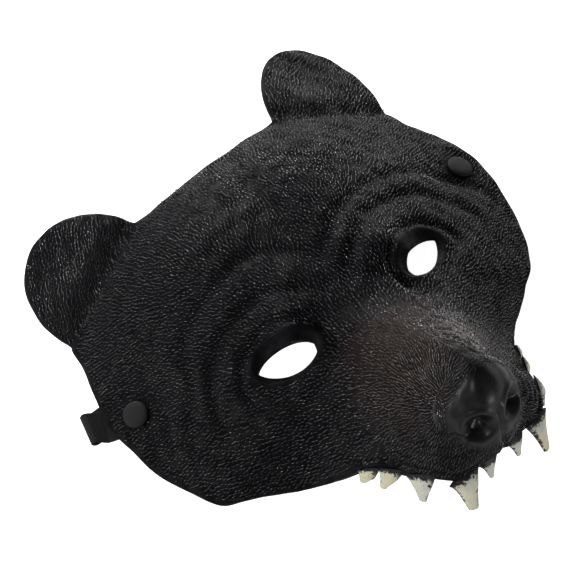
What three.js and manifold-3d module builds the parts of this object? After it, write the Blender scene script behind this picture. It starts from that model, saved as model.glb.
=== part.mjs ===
import * as THREE from 'three';
import { mergeVertices } from 'three/addons/utils/BufferGeometryUtils.js';
import Module from 'manifold-3d';

// A bear half mask: a foam skin with ears, brows, muzzle and nose, ten painted teeth, two snap rivets
// and an elastic strap. Millimetres. It lies on its rim with the face up (+Z), the ears toward +Y and
// the muzzle toward -Y. Its left is -X.

const { MathUtils, Vector3 } = THREE;
const wasm = await Module();
wasm.setup();

// Driving dimensions
const WALL = 2.6;
const CLEARANCE = 0.3;

const SKIN_ROWS = 52;
const SKIN_COLUMNS = 34;
const EAR_COLUMNS = 7;
const EDGE_CROWDING = 0.55;
const SLOPE_STEP = 0.004;
const LIP_STEP = 0.05;

const EYE_SLANT = MathUtils.degToRad(21);
const EYE = { x: 40, y: -38.5, z: 46, length: 26.5, height: 15, outward: 0.42 };
const ALMOND = { fullness: 0.68, point: 0.35, depth: 60, segments: 10 };
const SNAP = { x: 95.8, y: -1.6, z: 12.4, tilt: MathUtils.degToRad(25), seatRadius: 10.2, seatBlend: 13 };
const CAP = { radius: 6, thickness: 2.2, sides: 24, dome: [[0, 1], [0.6, 0.94], [0.9, 0.7], [1, 0.4]] };
const POST = { radius: 2, sides: 16, holeLength: 30 };
const FLANGE = { radius: 4.5, thickness: 1 };
const STRAP = { width: 15, thickness: 1.2, tab: 6, fold: 2.1, pull: 22, duck: 15, duckZ: 2.1, lift: 0.3 };
const RIGHT_FOLD = { out: 6, lead: 4 };
const STRAP_LEAVES = MathUtils.degToRad(32);
const STRAP_FOLD_SLANT = MathUtils.degToRad(17);
const TOOTH = { sides: 12, rings: 5, taper: 0.9, tipHole: 0.55, tipHoleDepth: 1.2 };

const FOAM = { color: 0x1d1d1f, roughness: 0.55, metalness: 0 };
const ENAMEL = { color: 0xb2b09a, roughness: 0.4, metalness: 0 };
const RIVET = { color: 0x232325, roughness: 0.45, metalness: 0 };
const ELASTIC = { color: 0x161618, roughness: 0.9, metalness: 0 };

// A table's rows as objects with the columns' names
function table(columns, rows) {
  return rows.map((row) => Object.fromEntries(columns.map((name, index) => [name, row[index]])));
}

// The skin's sections, from the edge between the ears, along the root of the ear, down the side and
// along the lip. Each runs from the midline out to the rim. sweep bends it in plan, crown keeps its
// middle broad, and flare over 1 hollows its side.
const SECTIONS = table(
  ['midY', 'midZ', 'edgeX', 'edgeY', 'edgeZ', 'sweep', 'crown', 'flare'],
  [
    [65, 36, 40.5, 65, 31.5, 2.0, 2.2, 1.0],
    [59.5, 41, 48.3, 62.6, 28.5, 2.0, 2.2, 1.0],
    [53.5, 45.5, 56.1, 60.1, 25.3, 2.0, 2.2, 1.0],
    [47, 49.5, 63.9, 57.7, 21.7, 2.0, 2.2, 1.0],
    [40, 53, 71.6, 55.3, 17.7, 2.0, 2.2, 1.05],
    [32.5, 55.8, 79.4, 52.9, 13.1, 1.9, 2.1, 1.1],
    [25, 58, 87.2, 50.4, 8.2, 1.9, 2.1, 1.15],
    [17, 59.2, 95, 48, 3.4, 1.8, 2.0, 1.15],
    [8.5, 59.8, 97.5, 36, 4.4, 1.7, 2.0, 1.15],
    [-0.5, 60.2, 103, 20, 6.8, 1.7, 2.0, 1.25],
    [-10, 60, 107.5, 3, 7, 1.7, 2.0, 1.3],
    [-20, 59.7, 107, -13, 4.8, 1.7, 2.0, 1.25],
    [-30, 59.5, 104.5, -28.5, 2.8, 1.7, 2.0, 1.15],
    [-40.5, 60, 99, -43.5, 2.4, 1.7, 1.95, 1.1],
    [-50, 62.3, 92.5, -57, 2.4, 1.7, 1.85, 1.08],
    [-58, 66.5, 77, -65.5, 3, 1.7, 1.8, 1.06],
    [-67, 72.5, 63.5, -75.5, 7, 1.7, 1.75, 1.08],
    [-77, 80.3, 53.5, -84.5, 18, 1.8, 1.7, 1.15],
    [-87, 88, 46.5, -91, 29, 1.9, 1.58, 1.24],
    [-97, 94.5, 42, -97.5, 37, 2.0, 1.42, 1.32],
    [-105.5, 98.5, 38.8, -103.5, 41.5, 2.0, 1.27, 1.38],
    [-112, 98, 36.5, -109, 43.5, 2.0, 1.22, 1.38],
    [-117, 93.5, 34.2, -114.5, 46.5, 2.0, 1.27, 1.32],
    [-121, 86, 31.8, -119.5, 49.5, 2.0, 1.42, 1.22],
    [-125, 75, 29.2, -124.3, 51.2, 2.2, 1.75, 1.1],
    [-129, 63.5, 26.5, -128, 51.8, 2.6, 2.2, 1.0],
    [-132, 51.5, 23.2, -131.2, 51.5, 3.0, 2.4, 1.0],
  ],
);
const LAST_STATION = SECTIONS.length - 1;

// The ear is a half oval on its root, the rim of the first sections. reach runs from the middle of the
// root to the tip.
const EAR_STATION = 7;
const EAR = { reach: new Vector3(12, 39, -6), arch: 2 };

// Rounded swellings and hollows of the skin, the same on both sides
const SWELLINGS = table(
  ['x', 'y', 'z', 'rise', 'radius'],
  [
    [24, -20, 58, 3.2, 13],
    [40, -39, 46, -4.0, 15],
    [25, -52, 56, -2.6, 11],
    [27, -116, 56, 2.2, 12],
    [76, 80, 15, -3.6, 15],
  ],
);

const EYELID = { rise: 1, middle: 1.4, width: 0.25 };
const FURROW = { depth: 1.6, halfWidth: 5, y: 12, halfLength: 34 };
const NOSE = {
  centre: new Vector3(0, -113.5, 60.5),
  radii: new Vector3(20, 18, 42.5),
  tilt: 0.2,
  softness: 0.03,
};
const NOSTRIL = { x: 9.5, y: -127, z: 77, radius: 6, depth: 5 };
const EAR_ROOT = { x: 68, y: 58, slope: -0.32, depth: 1.8, width: 6, halfLength: 30 };

// Cubic through the two middle values
function throughMiddle(before, start, end, after, part) {
  const leaving = (end - before) / 2;
  const arriving = (after - start) / 2;
  const square = part * part;
  const cube = square * part;
  return (2 * cube - 3 * square + 1) * start + (cube - 2 * square + part) * leaving
    + (3 * square - 2 * cube) * end + (cube - square) * arriving;
}

// The section at a station, which may lie between two rows of the table
function sectionAt(station) {
  const start = Math.min(Math.floor(station), LAST_STATION - 1);
  const around = [-1, 0, 1, 2].map((step) => SECTIONS[MathUtils.clamp(start + step, 0, LAST_STATION)]);
  const section = {};
  for (const name of Object.keys(SECTIONS[0])) {
    section[name] = throughMiddle(...around.map((row) => row[name]), station - start);
  }
  return section;
}

// A smooth step down from 1 inside the near distance to 0 at the far one
function fade(distance, near, far) {
  return 1 - MathUtils.smoothstep(distance, near, far);
}

function bell(distance, width) {
  return Math.exp(-((distance / width) ** 2));
}

// True between the two ends of the ear's root
function hasEar(station) {
  return station > 0 && station < EAR_STATION;
}

// The outline of the right ear beside a station of its root
function earEdge(station) {
  const [inner, outer] = [SECTIONS[0], SECTIONS[EAR_STATION]].map(
    (section) => new Vector3(section.edgeX, section.edgeY, section.edgeZ),
  );
  const turn = (Math.PI * station) / EAR_STATION;
  const middle = inner.clone().add(outer).multiplyScalar(0.5);
  const halfRoot = inner.sub(middle);
  return middle.addScaledVector(halfRoot, Math.cos(turn)).addScaledVector(EAR.reach, Math.sin(turn));
}

// A point of the ear: out is 0 on its root and 1 on its outline
function plainEar(station, out, side) {
  const root = plainSkin(station, 1);
  const point = root.lerp(earEdge(station), out);
  point.z += EAR.arch * Math.sin((Math.PI * station) / EAR_STATION) * Math.sin(Math.PI * out);
  point.x *= side;
  return point;
}

// A point of the plain skin: station runs along the head, across from -1 at the left rim to 1, and on
// to 2 at the outline of an ear
function plainSkin(station, across) {
  const part = Math.abs(across);
  if (part > 1) {
    return plainEar(station, part - 1, Math.sign(across));
  }
  const section = sectionAt(station);
  const arch = Math.max(0, 1 - part ** section.crown) ** section.flare;
  const x = part * section.edgeX;
  const y = MathUtils.lerp(section.midY, section.edgeY, part ** section.sweep);
  const z = MathUtils.lerp(section.edgeZ, section.midZ, arch);
  const seat = fade(Math.hypot(x - SNAP.x, y - SNAP.y), SNAP.seatRadius, SNAP.seatRadius + SNAP.seatBlend);
  const seatZ = SNAP.z - (x - SNAP.x) * Math.tan(SNAP.tilt);
  return overNose(new Vector3(Math.sign(across) * x, y, MathUtils.lerp(z, seatZ, seat)));
}

// A point inside the nose's egg, whose top leans back, is pushed out to its surface, with a soft crease
// round it
function overNose(point) {
  const fromCentre = point.sub(NOSE.centre);
  const turned = fromCentre.clone().applyAxisAngle(new Vector3(1, 0, 0), NOSE.tilt);
  const reach = turned.divide(NOSE.radii).length();
  const pushed = (reach + 1 + Math.hypot(reach - 1, NOSE.softness)) / 2;
  return fromCentre.multiplyScalar(pushed / reach).add(NOSE.centre);
}

function skinNormal(station, across) {
  const ahead = plainSkin(Math.min(station + SLOPE_STEP, LAST_STATION), across);
  const behind = plainSkin(Math.max(station - SLOPE_STEP, 0), across);
  const rim = hasEar(station) ? 2 : 1;
  const right = plainSkin(station, Math.min(across + SLOPE_STEP, rim));
  const left = plainSkin(station, Math.max(across - SLOPE_STEP, -rim));
  return ahead.sub(behind).cross(right.sub(left)).normalize();
}

// Place in plan from the centre of the eye on the same side: along the eye, outward, and across it
function eyePlace(point) {
  const x = Math.abs(point.x) - EYE.x;
  const y = point.y - EYE.y;
  const cosine = Math.cos(EYE_SLANT);
  const sine = Math.sin(EYE_SLANT);
  return { along: x * cosine + y * sine, over: y * cosine - x * sine };
}

// Broad relief, which shows on the inside of the skin too
function broadRelief(point) {
  const side = new Vector3(Math.abs(point.x), point.y, point.z);
  let rise = 0;
  for (const swelling of SWELLINGS) {
    const distance = Math.hypot(side.x - swelling.x, side.y - swelling.y, side.z - swelling.z);
    rise += swelling.rise * bell(distance, swelling.radius);
  }
  const fromNostril = Math.hypot(side.x - NOSTRIL.x, side.y - NOSTRIL.y, side.z - NOSTRIL.z);
  rise -= NOSTRIL.depth * bell(fromNostril, NOSTRIL.radius);
  const offRoot = side.y - EAR_ROOT.y - EAR_ROOT.slope * (side.x - EAR_ROOT.x);
  rise -= EAR_ROOT.depth * bell(offRoot, EAR_ROOT.width) * bell(side.x - EAR_ROOT.x, EAR_ROOT.halfLength);
  return rise;
}

// Fine relief of the outer face: the eyelids and the furrow of the forehead
function fineRelief(point) {
  const { along, over } = eyePlace(point);
  const round = Math.hypot(along / (EYE.length / 2), over / (EYE.height / 2));
  const lid = EYELID.rise * bell(round - EYELID.middle, EYELID.width);
  const furrow = bell(point.x, FURROW.halfWidth) * bell(point.y - FURROW.y, FURROW.halfLength);
  return lid - FURROW.depth * furrow;
}

function outerSkin(station, across) {
  const point = plainSkin(station, across);
  const rise = broadRelief(point) + fineRelief(point);
  return point.addScaledVector(skinNormal(station, across), rise);
}

function innerSkin(station, across) {
  const point = plainSkin(station, across);
  const rise = broadRelief(point) - WALL;
  return point.addScaledVector(skinNormal(station, across), rise);
}

// Closed geometry from points and triangles, turned so that its faces point out
function closedGeometry(points, triangles) {
  const volume = triangles.reduce(
    (sum, [a, b, c]) => sum + points[a].dot(points[b].clone().cross(points[c])),
    0,
  );
  const faces = volume > 0 ? triangles : triangles.map(([a, b, c]) => [a, c, b]);
  const geometry = new THREE.BufferGeometry().setFromPoints(points);
  geometry.setIndex(faces.flat());
  return geometry;
}

// A solid through closed rings of equal count, with a fan over each end
function loft(rings) {
  const count = rings[0].length;
  const points = rings.flat();
  const triangles = [];
  for (let ring = 0; ring + 1 < rings.length; ring += 1) {
    for (let place = 0; place < count; place += 1) {
      const next = (place + 1) % count;
      const [a, b] = [ring * count + place, ring * count + next];
      triangles.push([a, b, b + count], [a, b + count, a + count]);
    }
  }
  for (const [start, flip] of [[0, true], [(rings.length - 1) * count, false]]) {
    for (let place = 1; place + 1 < count; place += 1) {
      const fan = [start, start + place, start + place + 1];
      triangles.push(flip ? fan.reverse() : fan);
    }
  }
  return closedGeometry(points, triangles);
}

function toSolid(geometry) {
  const plain = geometry.clone();
  plain.deleteAttribute('normal');
  plain.deleteAttribute('uv');
  const merged = mergeVertices(plain);
  return new wasm.Manifold(new wasm.Mesh({
    numProp: 3,
    vertProperties: new Float32Array(merged.attributes.position.array),
    triVerts: new Uint32Array(merged.index.array),
  }));
}

function toGeometry(solid) {
  const mesh = solid.getMesh();
  const geometry = new THREE.BufferGeometry();
  geometry.setAttribute('position', new THREE.BufferAttribute(mesh.vertProperties, 3));
  geometry.setIndex(new THREE.BufferAttribute(mesh.triVerts, 1));
  return geometry;
}

function cut(geometry, cutters) {
  const solid = cutters.reduce((rest, cutter) => rest.subtract(toSolid(cutter)), toSolid(geometry));
  return toGeometry(solid);
}

// The place across the skin of a column, crowded toward the rims where the side is steep. Columns past
// the rims are on the ears.
function acrossAt(column) {
  const past = Math.max(-column, column - SKIN_COLUMNS);
  if (past > 0) {
    return Math.sign(column) * (1 + past / EAR_COLUMNS);
  }
  const even = (2 * column) / SKIN_COLUMNS - 1;
  return MathUtils.lerp(even, Math.sin((even * Math.PI) / 2), EDGE_CROWDING);
}

// The skin as two faces, outer and inner, joined all round the rim. The ears carry the rows of their
// roots on past the sides of the head, and close to a point at both ends of the root.
function skinGeometry() {
  const points = [];
  const triangles = [];
  const places = new Map();
  const corner = (face, row, column) => {
    const station = (row / SKIN_ROWS) * LAST_STATION;
    const kept = hasEar(station) ? column : MathUtils.clamp(column, 0, SKIN_COLUMNS);
    const key = `${face.name} ${row} ${kept}`;
    if (!places.has(key)) {
      places.set(key, points.length);
      points.push(face(station, acrossAt(kept)));
    }
    return places.get(key);
  };
  const triangle = (a, b, c) => {
    if (a !== b && b !== c && c !== a) {
      triangles.push([a, b, c]);
    }
  };
  const quad = (a, b, c, d) => {
    triangle(a, b, c);
    triangle(a, c, d);
  };
  const earRows = (EAR_STATION / LAST_STATION) * SKIN_ROWS;
  for (let row = 0; row < SKIN_ROWS; row += 1) {
    const extra = row < earRows ? EAR_COLUMNS : 0;
    for (let column = -extra; column < SKIN_COLUMNS + extra; column += 1) {
      const around = [[row, column], [row + 1, column], [row + 1, column + 1], [row, column + 1]];
      quad(...around.map((place) => corner(outerSkin, ...place)));
      quad(...around.map((place) => corner(innerSkin, ...place)).reverse());
    }
    for (const [first, second, column] of [[row + 1, row, -extra], [row, row + 1, SKIN_COLUMNS + extra]]) {
      quad(
        corner(outerSkin, first, column),
        corner(outerSkin, second, column),
        corner(innerSkin, second, column),
        corner(innerSkin, first, column),
      );
    }
  }
  for (let column = 0; column < SKIN_COLUMNS; column += 1) {
    for (const [row, first, second] of [[0, column, column + 1], [SKIN_ROWS, column + 1, column]]) {
      quad(
        corner(outerSkin, row, first),
        corner(outerSkin, row, second),
        corner(innerSkin, row, second),
        corner(innerSkin, row, first),
      );
    }
  }
  return closedGeometry(points, triangles);
}

// The frame of a snap: its axis points out of the skin, its outward way runs down to the rim
function snapFrame(side) {
  const axis = new Vector3(side * Math.sin(SNAP.tilt), 0, Math.cos(SNAP.tilt));
  const outward = new Vector3(side * Math.cos(SNAP.tilt), 0, -Math.sin(SNAP.tilt));
  return { centre: new Vector3(side * SNAP.x, SNAP.y, SNAP.z), axis, outward };
}

// A cylinder along the axis of a snap, for the holes that its post goes through
function snapHole(side) {
  const { centre, axis } = snapFrame(side);
  const radius = POST.radius + CLEARANCE;
  const hole = new THREE.CylinderGeometry(radius, radius, POST.holeLength, POST.sides);
  hole.applyQuaternion(new THREE.Quaternion().setFromUnitVectors(new Vector3(0, 1, 0), axis));
  return hole.translate(centre.x, centre.y, centre.z);
}

// An almond prism through the skin at an eye, round toward the nose and pointed outward
function eyeHole(side) {
  const half = EYE.length / 2;
  const rise = EYE.height * ALMOND.fullness;
  const point = half * ALMOND.point;
  const almond = new THREE.Shape();
  almond.moveTo(-half, 0);
  almond.bezierCurveTo(-half, rise, point, rise, half, 0);
  almond.bezierCurveTo(point, -rise, -half, -rise, -half, 0);
  const { depth, segments } = ALMOND;
  const hole = new THREE.ExtrudeGeometry(almond, { depth, bevelEnabled: false, curveSegments: segments });
  hole.translate(0, 0, -depth / 2);
  const axis = new Vector3(side * EYE.outward, 0, 1).normalize();
  const along = new Vector3(side * Math.cos(EYE_SLANT), Math.sin(EYE_SLANT), 0);
  const over = axis.clone().cross(along).normalize();
  hole.applyMatrix4(new THREE.Matrix4().makeBasis(over.clone().cross(axis), over, axis));
  return hole.translate(side * EYE.x, EYE.y, EYE.z);
}

function maskShell() {
  return cut(skinGeometry(), [-1, 1].flatMap((side) => [eyeHole(side), snapHole(side)]));
}

// Cap, post and back flange, turned about the snap's axis
function snapRivet(side) {
  const grip = WALL + STRAP.thickness + 2 * CLEARANCE;
  const profile = [
    ...CAP.dome.map(([out, up]) => [CAP.radius * out, CAP.thickness * up]),
    [CAP.radius, CLEARANCE],
    [POST.radius, CLEARANCE],
    [POST.radius, -grip],
    [FLANGE.radius, -grip],
    [FLANGE.radius, -grip - FLANGE.thickness],
    [0, -grip - FLANGE.thickness],
  ].map(([radius, height]) => new THREE.Vector2(radius, height));
  const { centre, axis } = snapFrame(side);
  const rivet = new THREE.LatheGeometry(profile.reverse(), CAP.sides);
  rivet.applyQuaternion(new THREE.Quaternion().setFromUnitVectors(new Vector3(0, 1, 0), axis));
  rivet.translate(centre.x, centre.y, centre.z);
  rivet.deleteAttribute('normal');
  rivet.deleteAttribute('uv');
  return mergeVertices(rivet);
}

// The strap's middle line, with the way across it at each stop: it leaves the left snap askew, ducks
// under the rim, folds back under itself, runs along the table and folds up to the right snap.
function strapLine() {
  const depth = WALL + CLEARANCE + STRAP.thickness / 2;
  const low = STRAP.thickness / 2 + STRAP.lift;
  const onSeat = (side, turn, out) => {
    const { centre, axis, outward } = snapFrame(side);
    const way = outward.clone().multiplyScalar(Math.cos(turn)).setY(Math.sin(turn));
    const point = centre.addScaledVector(axis, -depth).addScaledVector(way, out);
    return { point, across: way.cross(axis).multiplyScalar(-side) };
  };
  const inPlan = (turn) => new Vector3(Math.sin(turn), Math.cos(turn), 0);
  const leaving = new Vector3(-Math.cos(STRAP_LEAVES), Math.sin(STRAP_LEAVES), 0);
  const snap = onSeat(-1, STRAP_LEAVES, 0).point;
  const duck = snap.clone().addScaledVector(leaving, STRAP.duck).setZ(STRAP.duckZ);
  const leftFold = snap.clone().addScaledVector(leaving, STRAP.pull).setZ(low + STRAP.fold);
  const line = [-STRAP.tab, 0, STRAP.tab].map((out) => onSeat(-1, STRAP_LEAVES, out));
  line.push({ point: duck, across: inPlan(STRAP_LEAVES) });
  const foldWay = new Vector3(-Math.cos(STRAP_FOLD_SLANT), Math.sin(STRAP_FOLD_SLANT), 0);
  for (const angle of [80, 45, 10, -25, -60, -90]) {
    const swing = MathUtils.degToRad(angle);
    const bend = foldWay.clone().multiplyScalar(Math.cos(swing)).setZ(Math.sin(swing));
    line.push({ point: bend.multiplyScalar(STRAP.fold).add(leftFold), across: inPlan(STRAP_FOLD_SLANT) });
  }

  const top = onSeat(1, 0, RIGHT_FOLD.out).point;
  const radius = (top.z - low) / (1 + Math.cos(SNAP.tilt));
  const rightFold = new Vector3(top.x - radius * Math.sin(SNAP.tilt), top.y, low + radius);
  const run = rightFold.clone().sub(leftFold).setZ(0);
  const across = new Vector3(-run.y, run.x, 0).normalize();
  for (const part of [0.08, 0.12, 0.94, 0.98]) {
    line.push({ point: leftFold.clone().addScaledVector(run, part).setZ(low), across });
  }
  for (const angle of [-90, -60, -30, 0, 30, 60]) {
    const swing = MathUtils.degToRad(angle);
    const bend = new Vector3(Math.cos(swing), 0, Math.sin(swing)).multiplyScalar(radius);
    line.push({ point: bend.add(rightFold), across });
  }
  line.push(...[RIGHT_FOLD.lead, 0, -STRAP.tab].map((out) => onSeat(1, 0, out)));
  return line;
}

function elasticStrap() {
  const line = strapLine();
  const rings = line.map(({ point, across }, index) => {
    const ahead = line[Math.min(index + 1, line.length - 1)].point;
    const behind = line[Math.max(index - 1, 0)].point;
    const up = ahead.clone().sub(behind).cross(across).normalize();
    return [[1, 1], [-1, 1], [-1, -1], [1, -1]].map(([side, face]) => point.clone()
      .addScaledVector(across, (side * STRAP.width) / 2)
      .addScaledVector(up, (face * STRAP.thickness) / 2));
  });
  return cut(loft(rings), [snapHole(-1), snapHole(1)]);
}

// Each tooth hangs from the lip at a place on the skin. drop keeps its root off the lip, spread leans it
// away from the mouth and lead leans it forward.
const TEETH = table(
  ['name', 'station', 'across', 'length', 'width', 'depth', 'tip', 'drop', 'spread', 'lead'],
  [
    ['incisor', LAST_STATION, 0.33, 11.5, 7, 5, 0.3, 0.6, 0.3, 0],
    ['canine', LAST_STATION, 0.8, 18.5, 12, 7.5, 0.34, 0.95, 0.42, 0],
    ['premolar_front', 22.6, 1, 15.5, 10.5, 6.5, 0.34, 0.85, 0.15, 0.32],
    ['premolar_middle', 20.2, 1, 13.5, 9, 6, 0.3, 0.8, 0.33, 0.15],
    ['premolar_back', 18.65, 1, 9.5, 8, 5.5, 0.36, 0.75, 0.25, 0.05],
  ],
);

// The way along the lip's edge at a tooth
function lipWay({ station, across }, side) {
  const onFront = across < 1;
  const [ahead, behind] = [LIP_STEP, -LIP_STEP].map(
    (step) => innerSkin(onFront ? station : station + step, side * (onFront ? across + step : across)),
  );
  return ahead.sub(behind).normalize();
}

// A blunt cone with a hole in its tip, its root cut to the slope of the lip
function toothGeometry(tooth, side) {
  const outer = outerSkin(tooth.station, side * tooth.across);
  const inner = innerSkin(tooth.station, side * tooth.across);
  const through = outer.clone().sub(inner).normalize();
  const along = lipWay(tooth, side);
  const outward = through.clone().setZ(0).normalize();
  const axis = outward.multiplyScalar(tooth.spread).add(new Vector3(0, -tooth.lead, -1)).normalize();
  const rootDown = along.clone().cross(through).normalize();
  if (rootDown.z > 0) {
    rootDown.negate();
  }
  const root = outer.add(inner).multiplyScalar(0.5).addScaledVector(rootDown, tooth.drop);
  const level = along.clone().addScaledVector(axis, -along.dot(axis)).normalize();
  const facing = level.clone().cross(axis).normalize();
  const rootAcross = along.clone().cross(rootDown).normalize();
  const ring = (part, scale) => {
    const centre = root.clone().addScaledVector(axis, tooth.length * part);
    const wide = along.clone().lerp(level, part).multiplyScalar((tooth.width / 2) * scale);
    const deep = rootAcross.clone().lerp(facing, part).multiplyScalar((tooth.depth / 2) * scale);
    return Array.from({ length: TOOTH.sides }, (_, place) => {
      const turn = (2 * Math.PI * place) / TOOTH.sides;
      return centre.clone().addScaledVector(wide, Math.cos(turn)).addScaledVector(deep, Math.sin(turn));
    });
  };
  const rings = Array.from({ length: TOOTH.rings }, (_, index) => {
    const part = index / (TOOTH.rings - 1);
    return ring(part, MathUtils.lerp(1, tooth.tip, part ** TOOTH.taper));
  });
  rings.push(ring(1, tooth.tip * TOOTH.tipHole));
  rings.push(ring(1 - TOOTH.tipHoleDepth / tooth.length, tooth.tip * TOOTH.tipHole));
  return loft(rings);
}

const mask = new THREE.Group();

function place(name, geometry, finish) {
  const piece = new THREE.Mesh(geometry, new THREE.MeshStandardMaterial(finish));
  piece.name = name;
  mask.add(piece);
}

place('mask_shell', maskShell(), FOAM);
place('elastic_strap', elasticStrap(), ELASTIC);
for (const [name, side] of [['left', -1], ['right', 1]]) {
  place(`snap_${name}`, snapRivet(side), RIVET);
  for (const tooth of TEETH) {
    place(`tooth_${tooth.name}_${name}`, toothGeometry(tooth, side), ENAMEL);
  }
}

// The origin is the middle of the bottom of the whole mask
const box = new THREE.Box3().setFromObject(mask);
const middle = box.getCenter(new Vector3());
mask.position.set(-middle.x, -middle.y, -box.min.z);

export default mask;
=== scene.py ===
"""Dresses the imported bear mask: foam skin, carved fur, painted teeth, snap rivets and ribbed elastic."""

import logging
import math
from collections.abc import Mapping, Sequence
from dataclasses import dataclass, field
from enum import Enum
from typing import Any

import bmesh
import bpy
import numpy as np
from mathutils import Matrix, Vector


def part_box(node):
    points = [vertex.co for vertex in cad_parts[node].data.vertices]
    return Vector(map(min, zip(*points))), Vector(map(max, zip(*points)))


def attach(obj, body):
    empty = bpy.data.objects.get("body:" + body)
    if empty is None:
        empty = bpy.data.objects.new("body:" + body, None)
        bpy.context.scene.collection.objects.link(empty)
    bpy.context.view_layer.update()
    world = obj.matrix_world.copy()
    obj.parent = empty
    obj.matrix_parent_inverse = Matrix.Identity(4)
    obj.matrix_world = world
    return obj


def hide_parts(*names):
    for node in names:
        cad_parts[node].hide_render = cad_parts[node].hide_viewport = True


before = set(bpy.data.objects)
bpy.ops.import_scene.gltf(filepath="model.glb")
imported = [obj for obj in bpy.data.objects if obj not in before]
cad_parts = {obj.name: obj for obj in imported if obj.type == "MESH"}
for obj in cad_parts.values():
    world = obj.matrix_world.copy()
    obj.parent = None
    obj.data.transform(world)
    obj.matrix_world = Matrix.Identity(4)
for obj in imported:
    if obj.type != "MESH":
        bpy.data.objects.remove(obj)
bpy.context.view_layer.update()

log = logging.getLogger("bear_mask")

Array = np.ndarray
Span = tuple[float, float]
Triple = tuple[float, float, float]
Colour = tuple[float, float, float, float]
MM = 0.001
IMAGE_SIDE = 576
SENSOR = 36.0


class Side(Enum):
    """The two halves of the face, as the sign of X."""

    LEFT = -1
    RIGHT = 1

    @property
    def word(self) -> str:
        """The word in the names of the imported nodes."""
        return self.name.lower()


class Coat(Enum):
    """Which part of the head a patch of carved fur covers."""

    FACE = "face"
    EARS = "ears"
    MUZZLE = "muzzle"


def lerp(start: Any, end: Any, part: Any) -> Any:
    """The value part of the way from start to end."""
    return start + (end - start) * part


def smooth(low: Any, high: Any, value: Array) -> Array:
    """A smooth step from 0 at low to 1 at high."""
    part = np.clip((value - low) / (high - low), 0, 1)
    return part * part * (3 - 2 * part)


def bell(distance: Array, width: float) -> Array:
    """A rounded hump, 1 at no distance."""
    return np.exp(-((distance / width) ** 2))


def unit(vectors: Array) -> Array:
    """The vectors at length 1."""
    return vectors / np.maximum(np.linalg.norm(vectors, axis=-1, keepdims=True), 1e-9)


def mirrored(points: Array) -> Array:
    """The points with their X made positive."""
    return points * np.array([0, 1, 1]) + np.abs(points) * np.array([1, 0, 0])


def run_of(points: Array) -> Array:
    """The distance to each point along a line of points."""
    return np.concatenate([[0], np.cumsum(np.linalg.norm(np.diff(points, axis=0), axis=1))])


def sampled(at: Array, run: Array, rows: Array) -> Array:
    """Rows of X, Y and Z read off at distances along a line."""
    return np.stack([np.interp(at, run, rows[:, axis]) for axis in range(3)], -1)


def circle(sides: int) -> Array:
    """Even angles round a circle."""
    return np.linspace(0, 2 * np.pi, sides, endpoint=False)


def tube_faces(rings: int, sides: int, closed: bool = True) -> list[list[int]]:
    """The faces of a tube of rings of corners.

    Args:
        rings: how many rings there are.
        sides: the corners of a ring.
        closed: whether a flat face closes each end.

    Returns:
        The corners' numbers, face by face.
    """
    faces = []
    for start in range(0, (rings - 1) * sides, sides):
        for place in range(sides):
            following = (place + 1) % sides
            end = start + sides
            faces.append([start + place, start + following, end + following, end + place])
    if closed:
        faces += [list(range(sides)), list(range((rings - 1) * sides, rings * sides))]
    return faces


def prism(ring: Array, way: Array) -> tuple[Array, list[list[int]]]:
    """A closed prism on a ring of points, half its length to each side."""
    return np.vstack([ring - way / 2, ring + way / 2]), tube_faces(2, len(ring))


@dataclass(frozen=True)
class Bench:
    """Where the mask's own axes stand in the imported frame, in millimetres.

    X is 0 on the midline and Z is 0 at the table.
    """

    origin: Array

    @classmethod
    def from_snaps(cls, snap_y: float, drop: float = 0.13) -> "Bench":
        """Finds the origin from the two snaps.

        Args:
            snap_y: the snaps' Y on the mask's own axes.
            drop: how far the mask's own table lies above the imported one.

        Returns:
            The bench.
        """
        corners = [np.array(corner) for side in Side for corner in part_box(f"snap_{side.word}")]
        middle = np.mean(corners, axis=0) / MM
        return cls(np.array([middle[0], middle[1] - snap_y, -drop]))

    def to_frame(self, points: Array) -> Array:
        """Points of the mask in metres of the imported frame."""
        return (np.asarray(points, float) + self.origin) * MM

    def from_frame(self, points: Array) -> Array:
        """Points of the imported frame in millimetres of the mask."""
        return np.asarray(points, float) / MM - self.origin


def new_object(name: str, points: Array, faces: Sequence[Sequence[int]]) -> bpy.types.Object:
    """Makes a linked mesh object whose faces point outwards.

    Args:
        name: the piece's name.
        points: its corners in metres.
        faces: the corners' numbers, face by face.

    Returns:
        The object, at the origin.
    """
    mesh = bpy.data.meshes.new(name)
    mesh.from_pydata(np.asarray(points).tolist(), [], faces)
    work = bmesh.new()
    work.from_mesh(mesh)
    bmesh.ops.recalc_face_normals(work, faces=work.faces)
    work.to_mesh(mesh)
    work.free()
    mesh.update()
    piece = bpy.data.objects.new(name, mesh)
    bpy.context.scene.collection.objects.link(piece)
    return piece


def shade(piece: bpy.types.Object, sharp_degrees: float) -> None:
    """Shades a piece smooth, with the edges over an angle left sharp."""
    piece.data.shade_smooth()
    piece.data.set_sharp_from_angle(angle=math.radians(sharp_degrees))


def settle(piece: bpy.types.Object, name: str) -> bpy.types.Mesh:
    """Turns a piece with modifiers into a plain mesh.

    Args:
        piece: the object, whose modifiers are applied and removed.
        name: the name that it and its mesh get.

    Returns:
        The new mesh.
    """
    graph = bpy.context.evaluated_depsgraph_get()
    before = piece.data
    mesh = bpy.data.meshes.new_from_object(
        piece.evaluated_get(graph), preserve_all_data_layers=True, depsgraph=graph
    )
    piece.modifiers.clear()
    piece.data = mesh
    bpy.data.meshes.remove(before)
    piece.name = mesh.name = name
    return mesh


def discard(piece: bpy.types.Object) -> None:
    """Removes a helper object and its mesh."""
    mesh = piece.data
    bpy.data.objects.remove(piece)
    bpy.data.meshes.remove(mesh)


def stand_in(piece: bpy.types.Object, node: str) -> None:
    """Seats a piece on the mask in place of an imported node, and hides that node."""
    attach(piece, "root")
    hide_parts(node)


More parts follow.
